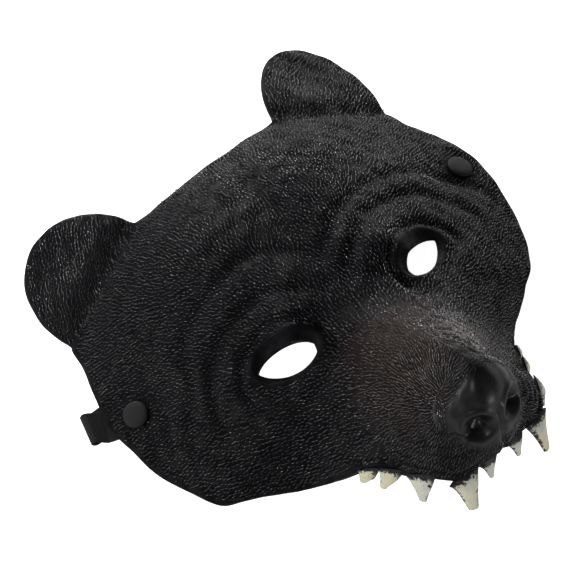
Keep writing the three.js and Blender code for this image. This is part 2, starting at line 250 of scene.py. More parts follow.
def float_layer(mesh: bpy.types.Mesh, name: str, values: Array) -> None:
    """Stores one number for each corner of a mesh."""
    layer = mesh.attributes.new(name, "FLOAT", "POINT")
    layer.data.foreach_set("value", np.asarray(values, np.float32))


def vector_layer(mesh: bpy.types.Mesh, name: str, values: Array) -> None:
    """Stores one vector for each corner of a mesh."""
    layer = mesh.attributes.new(name, "FLOAT_VECTOR", "POINT")
    layer.data.foreach_set("vector", np.asarray(values, np.float32).ravel())


def corners_of(mesh: bpy.types.Mesh) -> Array:
    """The corners of a mesh as rows of X, Y and Z."""
    flat = np.empty(len(mesh.vertices) * 3, np.float32)
    mesh.vertices.foreach_get("co", flat)
    return flat.reshape(-1, 3).astype(float)


def lay_tree(piece: bpy.types.Object, tree: bpy.types.NodeTree, values: Mapping[str, Any]) -> None:
    """Puts a geometry tree on a piece.

    Args:
        piece: the object that goes into the tree.
        tree: the tree.
        values: the values of its named inputs.
    """
    identifiers = {item.name: item.identifier for item in tree.interface.items_tree}
    lay = piece.modifiers.new(tree.name, "NODES")
    lay.node_group = tree
    for name, value in values.items():
        lay[identifiers[name]] = value


@dataclass
class Wiring:
    """Adds nodes to a tree and joins them."""

    tree: bpy.types.NodeTree

    def feed(self, sockets: Any, feeds: Mapping[Any, Any]) -> None:
        """Joins a socket or sets a value on each input, by name or number."""
        for name, value in feeds.items():
            if isinstance(value, bpy.types.NodeSocket):
                self.tree.links.new(value, sockets[name])
            else:
                sockets[name].default_value = value

    def node(self, kind: str, feeds: Mapping[Any, Any] | None = None, **settings: Any) -> bpy.types.Node:
        """Adds a node.

        Args:
            kind: Blender's name for the node.
            feeds: for each input, by name or number, a socket to join or a value.
            settings: the node's own properties.

        Returns:
            The node.
        """
        made = self.tree.nodes.new(kind)
        for name, value in settings.items():
            setattr(made, name, value)
        self.feed(made.inputs, feeds or {})
        return made

    def math(self, operation: str, first: Any, second: Any) -> Any:
        """A sum on two values or sockets."""
        return self.node("ShaderNodeMath", {0: first, 1: second}, operation=operation).outputs[0]

    def ramp(self, value: Any, low: float, high: float, start: float = 0, end: float = 1) -> Any:
        """A smooth ramp from start at low to end at high."""
        feeds = {0: value, 1: low, 2: high, 3: start, 4: end}
        return self.node("ShaderNodeMapRange", feeds, interpolation_type="SMOOTHSTEP").outputs[0]

    def mix(self, share: Any, first: Any, second: Any) -> Any:
        """A colour between two, by a share."""
        node = self.node("ShaderNodeMix", {0: share, 6: first, 7: second}, data_type="RGBA")
        return node.outputs[2]

    def noise(self, place: Any, scale: float, detail: float = 2.0, rough: float = 0.5) -> Any:
        """Grey noise at a place."""
        feeds = {"Vector": place, "Scale": scale, "Detail": detail, "Roughness": rough}
        return self.node("ShaderNodeTexNoise", feeds).outputs[0]

    def place(self) -> Any:
        """The place on the piece, in its own coordinates."""
        return self.node("ShaderNodeTexCoord").outputs["Object"]

    def layer(self, name: str) -> Any:
        """A number stored on the corners of the piece, for its material."""
        return self.node("ShaderNodeAttribute", attribute_name=name).outputs["Fac"]

    def stored(self, name: str, kind: str) -> Any:
        """A layer of the geometry, for a geometry tree."""
        return self.node("GeometryNodeInputNamedAttribute", {"Name": name}, data_type=kind).outputs[0]

    def bump(self, strength: float, distance: float, height: Any) -> Any:
        """A normal raised by a height, with its distance in metres."""
        feeds = {"Strength": strength, "Distance": distance, "Height": height}
        return self.node("ShaderNodeBump", feeds).outputs["Normal"]

    def sockets(self, way: str, kind: str, *names: str) -> None:
        """Adds named sockets of one kind to a group, as its INPUT or OUTPUT."""
        for name in names:
            self.tree.interface.new_socket(name, in_out=way, socket_type=f"NodeSocket{kind}")


def new_material(name: str) -> tuple[bpy.types.Material, Wiring, Any]:
    """Starts a material: itself, the wiring of its tree and the inputs of its shader."""
    material = bpy.data.materials.new(name)
    material.use_nodes = True
    shader = material.node_tree.nodes["Principled BSDF"]
    return material, Wiring(material.node_tree), shader.inputs


# Cross sections from the back of the forehead to the lip. Each row gives the midline's Y and Z, the edge's
# X, Y and Z, and the powers of its sweep, its crown and its flare.
SECTIONS = (
    (65, 36, 40.5, 65, 31.5, 2.0, 2.2, 1.0),
    (59.5, 41, 48.3, 62.6, 28.5, 2.0, 2.2, 1.0),
    (53.5, 45.5, 56.1, 60.1, 25.3, 2.0, 2.2, 1.0),
    (47, 49.5, 63.9, 57.7, 21.7, 2.0, 2.2, 1.0),
    (40, 53, 71.6, 55.3, 17.7, 2.0, 2.2, 1.05),
    (32.5, 55.8, 79.4, 52.9, 13.1, 1.9, 2.1, 1.1),
    (25, 58, 87.2, 50.4, 8.2, 1.9, 2.1, 1.15),
    (17, 59.2, 95, 48, 3.4, 1.8, 2.0, 1.15),
    (8.5, 59.8, 97.5, 36, 4.4, 1.7, 2.0, 1.15),
    (-0.5, 60.2, 103, 20, 6.8, 1.7, 2.0, 1.25),
    (-10, 60, 107.5, 3, 7, 1.7, 2.0, 1.3),
    (-20, 59.7, 107, -13, 4.8, 1.7, 2.0, 1.25),
    (-30, 59.5, 104.5, -28.5, 2.8, 1.7, 2.0, 1.15),
    (-40.5, 60, 99, -43.5, 2.4, 1.7, 1.95, 1.1),
    (-50, 62.3, 92.5, -57, 2.4, 1.7, 1.85, 1.08),
    (-58, 66.5, 77, -65.5, 3, 1.7, 1.8, 1.06),
    (-67, 72.5, 63.5, -75.5, 7, 1.7, 1.75, 1.08),
    (-77, 80.3, 53.5, -84.5, 18, 1.8, 1.7, 1.15),
    (-87, 88, 46.5, -91, 29, 1.9, 1.58, 1.24),
    (-97, 94.5, 42, -97.5, 37, 2.0, 1.42, 1.32),
    (-105.5, 98.5, 38.8, -103.5, 41.5, 2.0, 1.27, 1.38),
    (-112, 98, 36.5, -109, 43.5, 2.0, 1.22, 1.38),
    (-117, 93.5, 34.2, -114.5, 46.5, 2.0, 1.27, 1.32),
    (-121, 86, 31.8, -119.5, 49.5, 2.0, 1.42, 1.22),
    (-125, 75, 29.2, -124.3, 51.2, 2.2, 1.75, 1.1),
    (-129, 63.5, 26.5, -128, 51.8, 2.6, 2.2, 1.0),
    (-132, 51.5, 23.2, -131.2, 51.5, 3.0, 2.4, 1.0),
)
LAST_STATION = len(SECTIONS) - 1
EAR_STATION = 7
EDGE = slice(2, 5)
# Spans outside the table, for a crease that doesn't fade at that end.
FROM_START: Span = (-2, -1)
TO_END: Span = (LAST_STATION + 1, LAST_STATION + 2)


@dataclass(frozen=True)
class Layers:
    """What a snap holds together: skin, strap and the clearance between them, in millimetres."""

    wall: float = 2.6
    strap: float = 1.2
    clearance: float = 0.3


@dataclass(frozen=True)
class SnapSeat:
    """The flat of the skin under a snap."""

    x: float = 95.8
    y: float = -1.6
    z: float = 12.4
    tilt: float = math.radians(25)
    radius: float = 10.2
    blend: float = 13

    def frame(self, side: Side) -> tuple[Array, Array, Array]:
        """The seat's centre, its axis out of the skin and its way down to the rim."""
        sine, cosine = math.sin(self.tilt), math.cos(self.tilt)
        centre = np.array([side.value * self.x, self.y, self.z])
        return centre, np.array([side.value * sine, 0, cosine]), np.array([side.value * cosine, 0, -sine])

    def away(self, side: Array) -> Array:
        """Distances from the seat seen from above, of points of the right half."""
        return np.hypot(side[..., 0] - self.x, side[..., 1] - self.y)


@dataclass(frozen=True)
class Eye:
    """The almond eye hole and the bare lid round it."""

    centre: Triple = (40, -38.5, 46)
    slant: float = math.radians(21)
    length: float = 26.5
    height: float = 15
    outward: float = 0.42
    fullness: float = 0.54
    inner_reach: float = 1.5
    inner_corner: float = 1.8
    outer_corner: float = 0.6
    point: float = 0.5
    blunt: float = 0.8
    depth: float = 60
    steps: int = 20
    lid: float = 1.2
    upper_lid: float = 0.34
    upper_start: Span = (-5, 40)
    upper_end: Span = (150, 200)

    def place(self, points: Array) -> tuple[Array, Array]:
        """Distances along the eye, outward, and over it, seen from above."""
        side = mirrored(points)
        x, y = side[..., 0] - self.centre[0], side[..., 1] - self.centre[1]
        cosine, sine = math.cos(self.slant), math.sin(self.slant)
        return x * cosine + y * sine, y * cosine - x * sine

    def round(self, points: Array) -> Array:
        """1 on the oval round the hole, more outside it."""
        along, over = self.place(points)
        return np.hypot(along / (self.length / 2), over / (self.height / 2))

    def turn(self, points: Array) -> Array:
        """The angle round the eye in degrees: 0 outward, 90 over the eye, 180 inward."""
        along, over = self.place(points)
        turn = np.degrees(np.arctan2(over, along))
        return np.where(turn < -90, turn + 360, turn)

    def bare_ring(self, points: Array) -> Array:
        """Where the bare lid ends, on the scale of round: it is wider over the eye."""
        turn = self.turn(points)
        upper = self.upper_lid * smooth(*self.upper_start, turn)
        return self.lid + upper * (1 - smooth(*self.upper_end, turn))

    def outline(self) -> Array:
        """The almond's outline, along and over the eye, as two cubic bends."""
        half, rise = self.length / 2, self.height * self.fullness
        point, blunt, inner = half * self.point, half * self.blunt, half + self.inner_reach
        part = np.linspace(0, 1, self.steps)[:, None]
        upper = np.array([[-inner, self.inner_corner], [-blunt, rise], [point, rise], [half, 0]])
        lower = [[half, -self.outer_corner], [point, -rise], [-blunt, -rise], [-inner, -self.inner_corner]]
        weights = [(1 - part) ** 3, 3 * part * (1 - part) ** 2, 3 * part**2 * (1 - part), part**3]
        bends = (upper, np.array(lower))
        return np.vstack([sum(w * corner for w, corner in zip(weights, bend)) for bend in bends])

    def cutter(self, side: Side) -> tuple[Array, list[list[int]]]:
        """A closed almond prism through the skin, as points and faces."""
        axis = unit(np.array([side.value * self.outward, 0, 1.0]))
        along = np.array([side.value * math.cos(self.slant), math.sin(self.slant), 0])
        over = unit(np.cross(axis, along))
        along = np.cross(over, axis)
        outline = self.outline()
        centre = np.array(self.centre) * np.array([side.value, 1, 1])
        return prism(centre + outline[:, :1] * along + outline[:, 1:] * over, axis * self.depth)


@dataclass(frozen=True)
class Hollow:
    """A rounded swelling of the skin, or a hollow where its rise is below 0."""

    x: float
    y: float
    z: float
    rise: float
    radius: float

    def lift(self, side: Array) -> Array:
        """How far it lifts points of the right half."""
        distance = np.linalg.norm(side - np.array([self.x, self.y, self.z]), axis=-1)
        return self.rise * bell(distance, self.radius)


@dataclass(frozen=True)
class Fold:
    """A wrinkle on an oval round an eye, with its half lengths along and over the eye on each side.

    It runs from the start to the end angle, on the scale of Eye.turn.
    """

    left: Span
    right: Span
    depth: float
    width: float
    start: float
    end: float


@dataclass(frozen=True)
class Crease:
    """A line pressed in beside the rim, between two spans of stations where it fades."""

    to_rim: float
    depth: float
    width: float
    starts: Span
    ends: Span

    def sink(self, station: Array, to_rim: Array) -> Array:
        """How far it sinks points at stations and distances from the rim."""
        share = smooth(*self.starts, station) * (1 - smooth(*self.ends, station))
        return self.depth * share * bell(to_rim - self.to_rim, self.width)


@dataclass(frozen=True)
class Nose:
    """The egg-shaped nose, its bare pad, its nostrils and the slits beside them."""

    centre: Triple = (0, -114.5, 60.5)
    radii: Triple = (20, 18, 38)
    tilt: float = 0.1
    softness: float = 0.03
    taper: float = 0.3
    taper_span: Span = (12, 34)
    pad_front: Span = (-116, -110)
    pad_foot: Span = (58, 66)
    pad_foot_slope: float = 0.25
    pad_sides: Span = (16.5, 20)
    nostril: Triple = (9.5, -127, 77)
    nostril_depth: float = 2.6
    nostril_radius: float = 5.2
    wing_rise: float = 1.1
    wing_radius: float = 8.4
    wing_width: float = 1.8
    slit_start: Triple = (12.5, -126, 73)
    slit_end: Triple = (20, -116, 68)
    slit_depth: float = 2.4
    slit_width: float = 2.0
    slit_fade: float = 0.6
    groove_depth: float = 1.2
    groove_width: float = 1.4
    groove_top: Span = (80, 88)
    groove_back: Span = (-124, -119)

    def reach(self, points: Array) -> Array:
        """1 on the nose's egg, less inside it."""
        cosine, sine = math.cos(self.tilt), math.sin(self.tilt)
        tilted = np.array([[1, 0, 0], [0, cosine, sine], [0, -sine, cosine]])
        turned = (points - np.array(self.centre)) @ tilted
        turned[..., 0] /= 1 - self.taper * smooth(*self.taper_span, turned[..., 2])
        return np.linalg.norm(turned / np.array(self.radii), axis=-1)

    def pushed_out(self, points: Array) -> Array:
        """The points, with those inside the egg moved out to it."""
        reach = self.reach(points)
        wanted = (reach + 1 + np.hypot(reach - 1, self.softness)) / 2
        centre = np.array(self.centre)
        return centre + (points - centre) * (wanted / reach)[..., None]

    def pad(self, points: Array) -> Array:
        """1 on the bare leather of the nose, 0 on the fur."""
        side = mirrored(points)
        front = 1 - smooth(*self.pad_front, side[..., 1])
        height = smooth(*self.pad_foot, side[..., 2] - self.pad_foot_slope * side[..., 0])
        return front * height * (1 - smooth(*self.pad_sides, side[..., 0]))

    def relief(self, points: Array) -> Array:
        """Nostrils with raised wings, the slits beside them and the groove below the nose."""
        side = mirrored(points)
        distance = np.linalg.norm(side - np.array(self.nostril), axis=-1)
        rise = -self.nostril_depth * np.exp(-((distance / self.nostril_radius) ** 4))
        rise += self.wing_rise * bell(distance - self.wing_radius, self.wing_width)
        start = np.array(self.slit_start)
        way = np.array(self.slit_end) - start
        part = np.clip(((side - start) @ way) / (way @ way), 0, 1)
        off = np.linalg.norm(side - start - part[..., None] * way, axis=-1)
        rise -= self.slit_depth * bell(off, self.slit_width) * (1 - self.slit_fade * part)
        groove = (1 - smooth(*self.groove_top, side[..., 2])) * (1 - smooth(*self.groove_back, side[..., 1]))
        return rise - self.groove_depth * groove * bell(side[..., 0], self.groove_width)


@dataclass
class SkinForm:
    """The shape of the foam skin, in the mask's own millimetres."""

    layers: Layers = Layers()
    seat: SnapSeat = SnapSeat()
    eye: Eye = Eye()
    nose: Nose = Nose()
    slope_step: float = 0.004
    bridge: Triple = (0, -82, 66)
    ear_reach: Triple = (12, 40, -6)
    right_ear: Triple = (0.5, 3, 2)
    ear_arch: float = 2
    ear_root: Span = (68, 58)
    ear_root_slope: float = 0.32
    ear_fade: Span = (-6, 2)
    ear_crease: float = 1.8
    ear_crease_width: float = 6
    ear_crease_length: float = 30
    cheek_out: float = 3.2
    cheek_out_at: Span = (15.3, 0.8)
    cheek_in: float = 2.0
    cheek_in_at: Span = (13.9, 0.6)
    # Inner brow, eye socket, side of the bridge, upper lip, bowl of the ear and nostril.
    hollows: tuple[Hollow, ...] = (
        Hollow(24, -20, 58, 3.2, 13),
        Hollow(40, -39, 46, -4.0, 15),
        Hollow(25, -52, 56, -2.6, 11),
        Hollow(27, -116, 56, 2.2, 12),
        Hollow(76, 80, 15, -3.6, 15),
        Hollow(9.5, -127, 77, -5.0, 6.0),
    )
    brow: Hollow = Hollow(32, -30.5, 52, 4.6, 10)
    furrow_depth: float = 1.6
    furrow_width: float = 5
    furrow_y: float = 12
    furrow_length: float = 34
    solid_lid_at: Span = (1.4, 0.25)
    lid_rise: float = 0.6
    lid_inset: float = 0.1
    lid_width: float = 0.14
    lid_sink: float = 1.1
    lid_edge: float = 0.05
    fold_fade: float = 20
    fold_ripples: tuple[Triple, ...] = ((0.02, 3, 0.8), (0.015, 7, 0))
    folds: tuple[Fold, ...] = (
        Fold((21, 15), (21, 15), 1.9, 2.6, -30, 200),
        Fold((23.4, 18.6), (23.4, 18.6), -0.8, 1.2, 70, 170),
        Fold((34, 28), (40.5, 30), 1.9, 3.6, -15, 130),
        Fold((45.5, 47), (61, 40.5), 1.6, 3.8, -5, 115),
        Fold((17.2, 10.8), (17.2, 10.8), 0.6, 0.6, -85, -25),
        Fold((19.6, 12.9), (19.6, 12.9), 0.5, 0.6, -85, -25),
        Fold((22.5, 16.2), (22.5, 16.2), 0.8, 0.9, 205, 245),
        Fold((26, 18.7), (26, 18.7), 0.8, 1.0, 200, 240),
    )
    # The lip's line, three rows over it on the muzzle, and the rounded rim.
    creases: tuple[Crease, ...] = (
        Crease(4.6, 0.8, 1.3, (17, 18.5), TO_END),
        Crease(9, 0.5, 1.3, (18.5, 20), (24, 25)),
        Crease(13.5, 0.5, 1.3, (18.5, 20), (24, 25)),
        Crease(18, 0.5, 1.3, (18.5, 20), (24, 25)),
        Crease(0, 0.9, 1.1, FROM_START, TO_END),
    )
    swell_height: float = 0.12
    swell_growth: float = 0.4
    swell_waves: tuple[Triple, ...] = (
        (0.31, 0.12, 0.2), (-0.13, 0.29, 0.11), (0.2, -0.24, 0.3), (0.09, 0.18, -0.33),
    )
    sections: Array = field(default_factory=lambda: np.array(SECTIONS, float))

    def section_at(self, station: Array) -> Array:
        """The sections at stations, which may lie between two rows of the table."""
        start = np.minimum(np.floor(station).astype(int), LAST_STATION - 1)
        rows = [self.sections[np.clip(start + step, 0, LAST_STATION)] for step in (-1, 0, 1, 2)]
        before, first, second, after = rows
        part = (station - start)[..., None]
        leaving, arriving = (second - before) / 2, (after - first) / 2
        square, cube = part**2, part**3
        value = (2 * cube - 3 * square + 1) * first + (cube - 2 * square + part) * leaving
        return value + (3 * square - 2 * cube) * second + (cube - square) * arriving

    def has_ear(self, station: Array) -> Array:
        """True between the two ends of an ear's root."""
        return (station > 1e-9) & (station < EAR_STATION - 1e-9)

    def ear_edge(self, station: Array, across: Array) -> Array:
        """The outline of an ear beside stations of its root, with X positive.

        Args:
            station: places along the head.
            across: places across it, over 0 on the right, whose ear reaches farther.

        Returns:
            The points.
        """
        ends = self.sections[[0, EAR_STATION]][:, EDGE]
        middle = ends.mean(0)
        turn = (np.pi * station / EAR_STATION)[..., None]
        reach = np.array(self.ear_reach) + np.where(across > 0, 1, 0)[..., None] * np.array(self.right_ear)
        return middle + (ends[0] - middle) * np.cos(turn) + reach * np.sin(turn)

    def past_ear_root(self, points: Array) -> Array:
        """How far points lie past the line of an ear's root."""
        side = mirrored(points)
        x, y = self.ear_root
        return side[..., 1] - y + self.ear_root_slope * (side[..., 0] - x)

    def on_ear(self, points: Array) -> Array:
        """1 on the ears, 0 on the head."""
        return smooth(*self.ear_fade, self.past_ear_root(points))

    def plain(self, station: Array, across: Array) -> Array:
        """The skin before any relief.

        Args:
            station: places along the head, rows of the table.
            across: -1 at the left rim to 1, and on to 2 at the outline of an ear.

        Returns:
            The points.
        """
        part = np.abs(across)
        inside = np.minimum(part, 1)
        columns = np.moveaxis(self.section_at(station), -1, 0)
        mid_y, mid_z, edge_x, edge_y, edge_z, sweep, crown, flare = columns
        arch = np.maximum(0, 1 - inside**crown) ** flare
        x, y, z = inside * edge_x, lerp(mid_y, edge_y, inside**sweep), lerp(edge_z, mid_z, arch)
        (out_at, out_width), (in_at, in_width) = self.cheek_out_at, self.cheek_in_at
        cheek = self.cheek_out * bell(station - out_at, out_width)
        cheek = cheek - self.cheek_in * bell(station - in_at, in_width)
        x = x + np.where(across > 0, cheek * inside**3, 0)
        seat = self.seat
        share = 1 - smooth(seat.radius, seat.radius + seat.blend, seat.away(np.stack([x, y], -1)))
        z = lerp(z, seat.z - (x - seat.x) * math.tan(seat.tilt), share)
        points = self.nose.pushed_out(np.stack([x, y, z], -1))
        out = np.clip(part - 1, 0, 1)
        rise = self.ear_arch * np.sin(np.pi * station / EAR_STATION) * np.sin(np.pi * out)
        points = lerp(points, self.ear_edge(station, across), out[..., None])
        points[..., 2] += np.where(out > 0, rise, 0)
        points[..., 0] *= np.where(across < 0, -1, 1)
        return points

    def normal(self, station: Array, across: Array) -> Array:
        """The way out of the skin."""
        step = self.slope_step
        rim = np.where(self.has_ear(station), 2.0, 1.0)
        ahead = self.plain(np.minimum(station + step, LAST_STATION), across)
        behind = self.plain(np.maximum(station - step, 0), across)
        right = self.plain(station, np.minimum(across + step, rim))
        left = self.plain(station, np.maximum(across - step, -rim))
        return unit(np.cross(ahead - behind, right - left))

    def broad_relief(self, points: Array) -> Array:
        """The relief that shows on the inside too."""
        side = mirrored(points)
        rise = sum(hollow.lift(side) for hollow in self.hollows)
        crease = bell(self.past_ear_root(points), self.ear_crease_width)
        return rise - self.ear_crease * crease * bell(side[..., 0] - self.ear_root[0], self.ear_crease_length)

    def furrow(self, points: Array) -> Array:
        """The furrow down the middle of the forehead."""
        length = bell(points[..., 1] - self.furrow_y, self.furrow_length)
        return self.furrow_depth * bell(points[..., 0], self.furrow_width) * length

    def solid_relief(self, points: Array) -> Array:
        """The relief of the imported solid's outer face."""
        ring, width = self.solid_lid_at
        return self.broad_relief(points) + bell(self.eye.round(points) - ring, width) - self.furrow(points)

    def lid_relief(self, points: Array) -> Array:
        """The lid's raised edge, the bare skin sunk inside it and the swelling of the brow."""
        ring, edge = self.eye.round(points), self.eye.bare_ring(points)
        raised = self.lid_rise * bell(ring - edge + self.lid_inset, self.lid_width)
        sunk = self.lid_sink * (1 - smooth(1.0, edge - self.lid_edge, ring))
        return raised - sunk + self.brow.lift(mirrored(points))

    def fold_relief(self, points: Array) -> Array:
        """Wrinkles round the eyes, deepest over the brow."""
        along, over = self.eye.place(points)
        turn = self.eye.turn(points)
        angle = np.radians(turn)
        wave = sum(height * np.sin(angle * count + lag) for height, count, lag in self.fold_ripples)
        left = (points[..., 0] < 0)[..., None]
        rise = np.zeros(len(points))
        for fold in self.folds:
            half = np.where(left, np.array(fold.left, float), np.array(fold.right, float))
            ring = np.hypot(along / half[..., 0], over / half[..., 1]) + wave
            distance = (ring - 1) * np.hypot(along, over) / np.maximum(ring, 0.1)
            share = smooth(fold.start - self.fold_fade, fold.start + self.fold_fade, turn)
            share *= 1 - smooth(fold.end - self.fold_fade, fold.end + self.fold_fade, turn)
            rise -= fold.depth * share * bell(distance, fold.width)
        return rise

    def fine_relief(self, points: Array, station: Array, to_rim: Array) -> Array:
        """The whole relief of the outer face.

        Args:
            points: the plain skin.
            station: their places along the head.
            to_rim: their distances from the rim.

        Returns:
            The rise of each point.
        """
        rise = self.broad_relief(points) + self.lid_relief(points) - self.furrow(points)
        rise += self.fold_relief(points) + self.nose.relief(points)
        for crease in self.creases:
            rise -= crease.sink(station, to_rim)
        return rise + self.swell(points)

    def swell(self, points: Array) -> Array:
        """Slight unevenness of the moulded foam."""
        rise = np.zeros(len(points))
        for order, wave in enumerate(self.swell_waves):
            rate = 1 + self.swell_growth * order
            rise += self.swell_height * np.sin(points @ np.array(wave) * rate + order)
        return rise


@dataclass
class Sheet:
    """A grid over one face of the skin, with the ears beyond its sides."""

    form: SkinForm
    rows: int = 260
    columns: int = 250
    ear_columns: int = 35
    crowding: float = 0.55
    index: Array = field(init=False)
    station: Array = field(init=False)
    across: Array = field(init=False)
    plain: Array = field(init=False)
    normal: Array = field(init=False)
    to_rim: Array = field(init=False)

    def __post_init__(self) -> None:
        """Numbers the grid's corners and finds where they lie."""
        column = np.arange(-self.ear_columns, self.columns + self.ear_columns + 1)
        stations = np.linspace(0, LAST_STATION, self.rows + 1)
        head = np.clip(column, 0, self.columns)
        kept = np.where(self.form.has_ear(stations)[:, None], column, head) + self.ear_columns
        keys = np.arange(self.rows + 1)[:, None] * len(column) + kept
        places, index = np.unique(keys, return_inverse=True)
        self.index = index.reshape(keys.shape)
        self.station = stations[places // len(column)]
        self.across = self.across_at(column)[places % len(column)]
        self.plain = self.form.plain(self.station, self.across)
        self.normal = self.form.normal(self.station, self.across)
        self.to_rim = self.rim_distance()

    def across_at(self, column: Array) -> Array:
        """Places across the skin, crowded toward the rims. Columns past them are on the ears."""
        even = np.clip(2 * column / self.columns - 1, -1, 1)
        across = lerp(even, np.sin(even * np.pi / 2), self.crowding)
        past = np.maximum(np.maximum(-column, column - self.columns), 0)
        return across + np.sign(even) * past / max(self.ear_columns, 1)

    def rim_distance(self) -> Array:
        """Each corner's distance from the rim, along the grid."""
        points = self.plain[self.index]
        steps = np.linalg.norm(np.diff(points, axis=1), axis=-1)
        from_left = np.hstack([np.zeros((len(points), 1)), np.cumsum(steps, axis=1)])
        from_right = from_left[:, -1:] - from_left
        steps = np.linalg.norm(np.diff(points, axis=0), axis=-1)
        from_back = np.vstack([np.zeros((1, points.shape[1])), np.cumsum(steps, axis=0)])
        from_front = from_back[-1:] - from_back
        ear = np.abs(self.across[self.index]) > 1
        ends = np.where(ear, np.inf, np.minimum(from_back, from_front))
        nearest = np.minimum(np.minimum(from_left, from_right), ends)
        distance = np.empty(len(self.plain))
        distance[self.index.ravel()] = nearest.ravel()
        return distance

    def outer(self) -> Array:
        """The corners on the outer face."""
        rise = self.form.fine_relief(self.plain, self.station, self.to_rim)
        return self.plain + self.normal * rise[:, None]

    def inner(self) -> Array:
        """The corners on the inner face."""
        rise = self.form.broad_relief(self.plain) - self.form.layers.wall
        return self.plain + self.normal * rise[:, None]

    def faces(self, offset: int = 0) -> list[list[int]]:
        """The grid's quads, with triangles where an ear closes to a point."""
        index = self.index + offset
        around = np.stack([index[:-1, :-1], index[1:, :-1], index[1:, 1:], index[:-1, 1:]], -1).reshape(-1, 4)
        quads = (list(dict.fromkeys(quad)) for quad in around.tolist())
        return [corners for corners in quads if len(corners) > 2]


@dataclass(frozen=True)
class FoamFinish:
    """Black self-skinned foam, browner round the muzzle's bridge and glossy where it is bare."""

    name: str
    dark: Colour
    light: Colour
    tint: Colour
    rough: float
    specular: float
    coat: float
    bump: float
    worn: float = 1.7
    coat_rough: float = 0.32
    pore_depth: float = 0.0005
    # Grains are a noise's scale, detail and roughness.
    patch_grain: Triple = (60, 3, 0.5)
    patch_span: Span = (0.35, 0.7)
    brown_reach: Span = (0.018, 0.046)
    brown_grain: Triple = (60, 2, 0.5)
    brown_span: Span = (0.2, 0.6)
    pore_grain: Triple = (700, 4, 0.7)
    wear_grain: Triple = (160, 3, 0.6)
    wear_span: Span = (0.4, 0.65)

    def tone_group(self) -> bpy.types.NodeTree:
        """The mottled tone that skin and fur share, made once.

        Returns:
            The node group.
        """
        if "foam_tone" in bpy.data.node_groups:
            return bpy.data.node_groups["foam_tone"]
        tree = bpy.data.node_groups.new("foam_tone", "ShaderNodeTree")
        wire = Wiring(tree)
        wire.sockets("INPUT", "Color", "Dark", "Light", "Tint")
        wire.sockets("INPUT", "Vector", "Bridge")
        wire.sockets("OUTPUT", "Color", "Color")
        wire.sockets("OUTPUT", "Float", "Pores", "Wear")
        inputs = wire.node("NodeGroupInput").outputs
        place = wire.place()
        patches = wire.ramp(wire.noise(place, *self.patch_grain), *self.patch_span)
        tone = wire.mix(patches, inputs["Dark"], inputs["Light"])
        feeds = {0: place, 1: inputs["Bridge"]}
        away = wire.node("ShaderNodeVectorMath", feeds, operation="DISTANCE").outputs["Value"]
        near = wire.ramp(away, *self.brown_reach, 1, 0)
        uneven = wire.ramp(wire.noise(place, *self.brown_grain), *self.brown_span)
        brown = wire.math("MULTIPLY", near, uneven)
        feeds = {
            "Color": wire.mix(brown, tone, inputs["Tint"]),
            "Pores": wire.noise(place, *self.pore_grain),
            "Wear": wire.ramp(wire.noise(place, *self.wear_grain), *self.wear_span),
        }
        wire.node("NodeGroupOutput", feeds)
        return tree

    def material(self, bridge: Sequence[float]) -> bpy.types.Material:
        """Makes the material.

        Args:
            bridge: the middle of the muzzle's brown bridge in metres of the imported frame.

        Returns:
            The material.
        """
        material, wire, shader = new_material(self.name)
        group = wire.node("ShaderNodeGroup", node_tree=self.tone_group())
        feeds = {"Dark": self.dark, "Light": self.light, "Tint": self.tint, "Bridge": tuple(bridge)}
        wire.feed(group.inputs, feeds)
        tone = group.outputs
        feeds = {
            "Base Color": tone["Color"],
            "Roughness": wire.ramp(tone["Wear"], 0, 1, self.rough, self.worn * self.rough),
            "Normal": wire.bump(self.bump, self.pore_depth, tone["Pores"]),
            "Coat Weight": wire.math("MULTIPLY", wire.layer("smooth_share"), self.coat),
            "Coat Roughness": self.coat_rough,
            "Specular IOR Level": self.specular,
        }
        wire.feed(shader, feeds)
        return material


# The skin's colours are darker than the fur's: painted shade in the grooves between the tufts, which also
# darkens the bare lids and nose.
SKIN_FINISH_WITH_GROOVE_SHADE = FoamFinish(
    "foam_skin",
    dark=(0.0015, 0.0015, 0.0022, 1),
    light=(0.0025, 0.0025, 0.0034, 1),
    tint=(0.01, 0.006, 0.005, 1),
    rough=0.5,
    specular=0.06,
    coat=0.3,
    bump=0.6,
)
FUR_FINISH = FoamFinish(
    "carved_fur",
    dark=(0.0015, 0.0015, 0.0024, 1),
    light=(0.0035, 0.0035, 0.0048, 1),
    tint=(0.019, 0.0105, 0.008, 1),
    rough=0.205,
    specular=0.56,
    coat=0.0,
    bump=0.12,
)
INSIDE_FINISH = FoamFinish(
    "inside_foam",
    dark=(0.012, 0.012, 0.013, 1),
    light=(0.02, 0.02, 0.021, 1),
    tint=(0.02, 0.02, 0.021, 1),
    rough=0.75,
    specular=0.35,
    coat=0.0,
    bump=0.6,
)


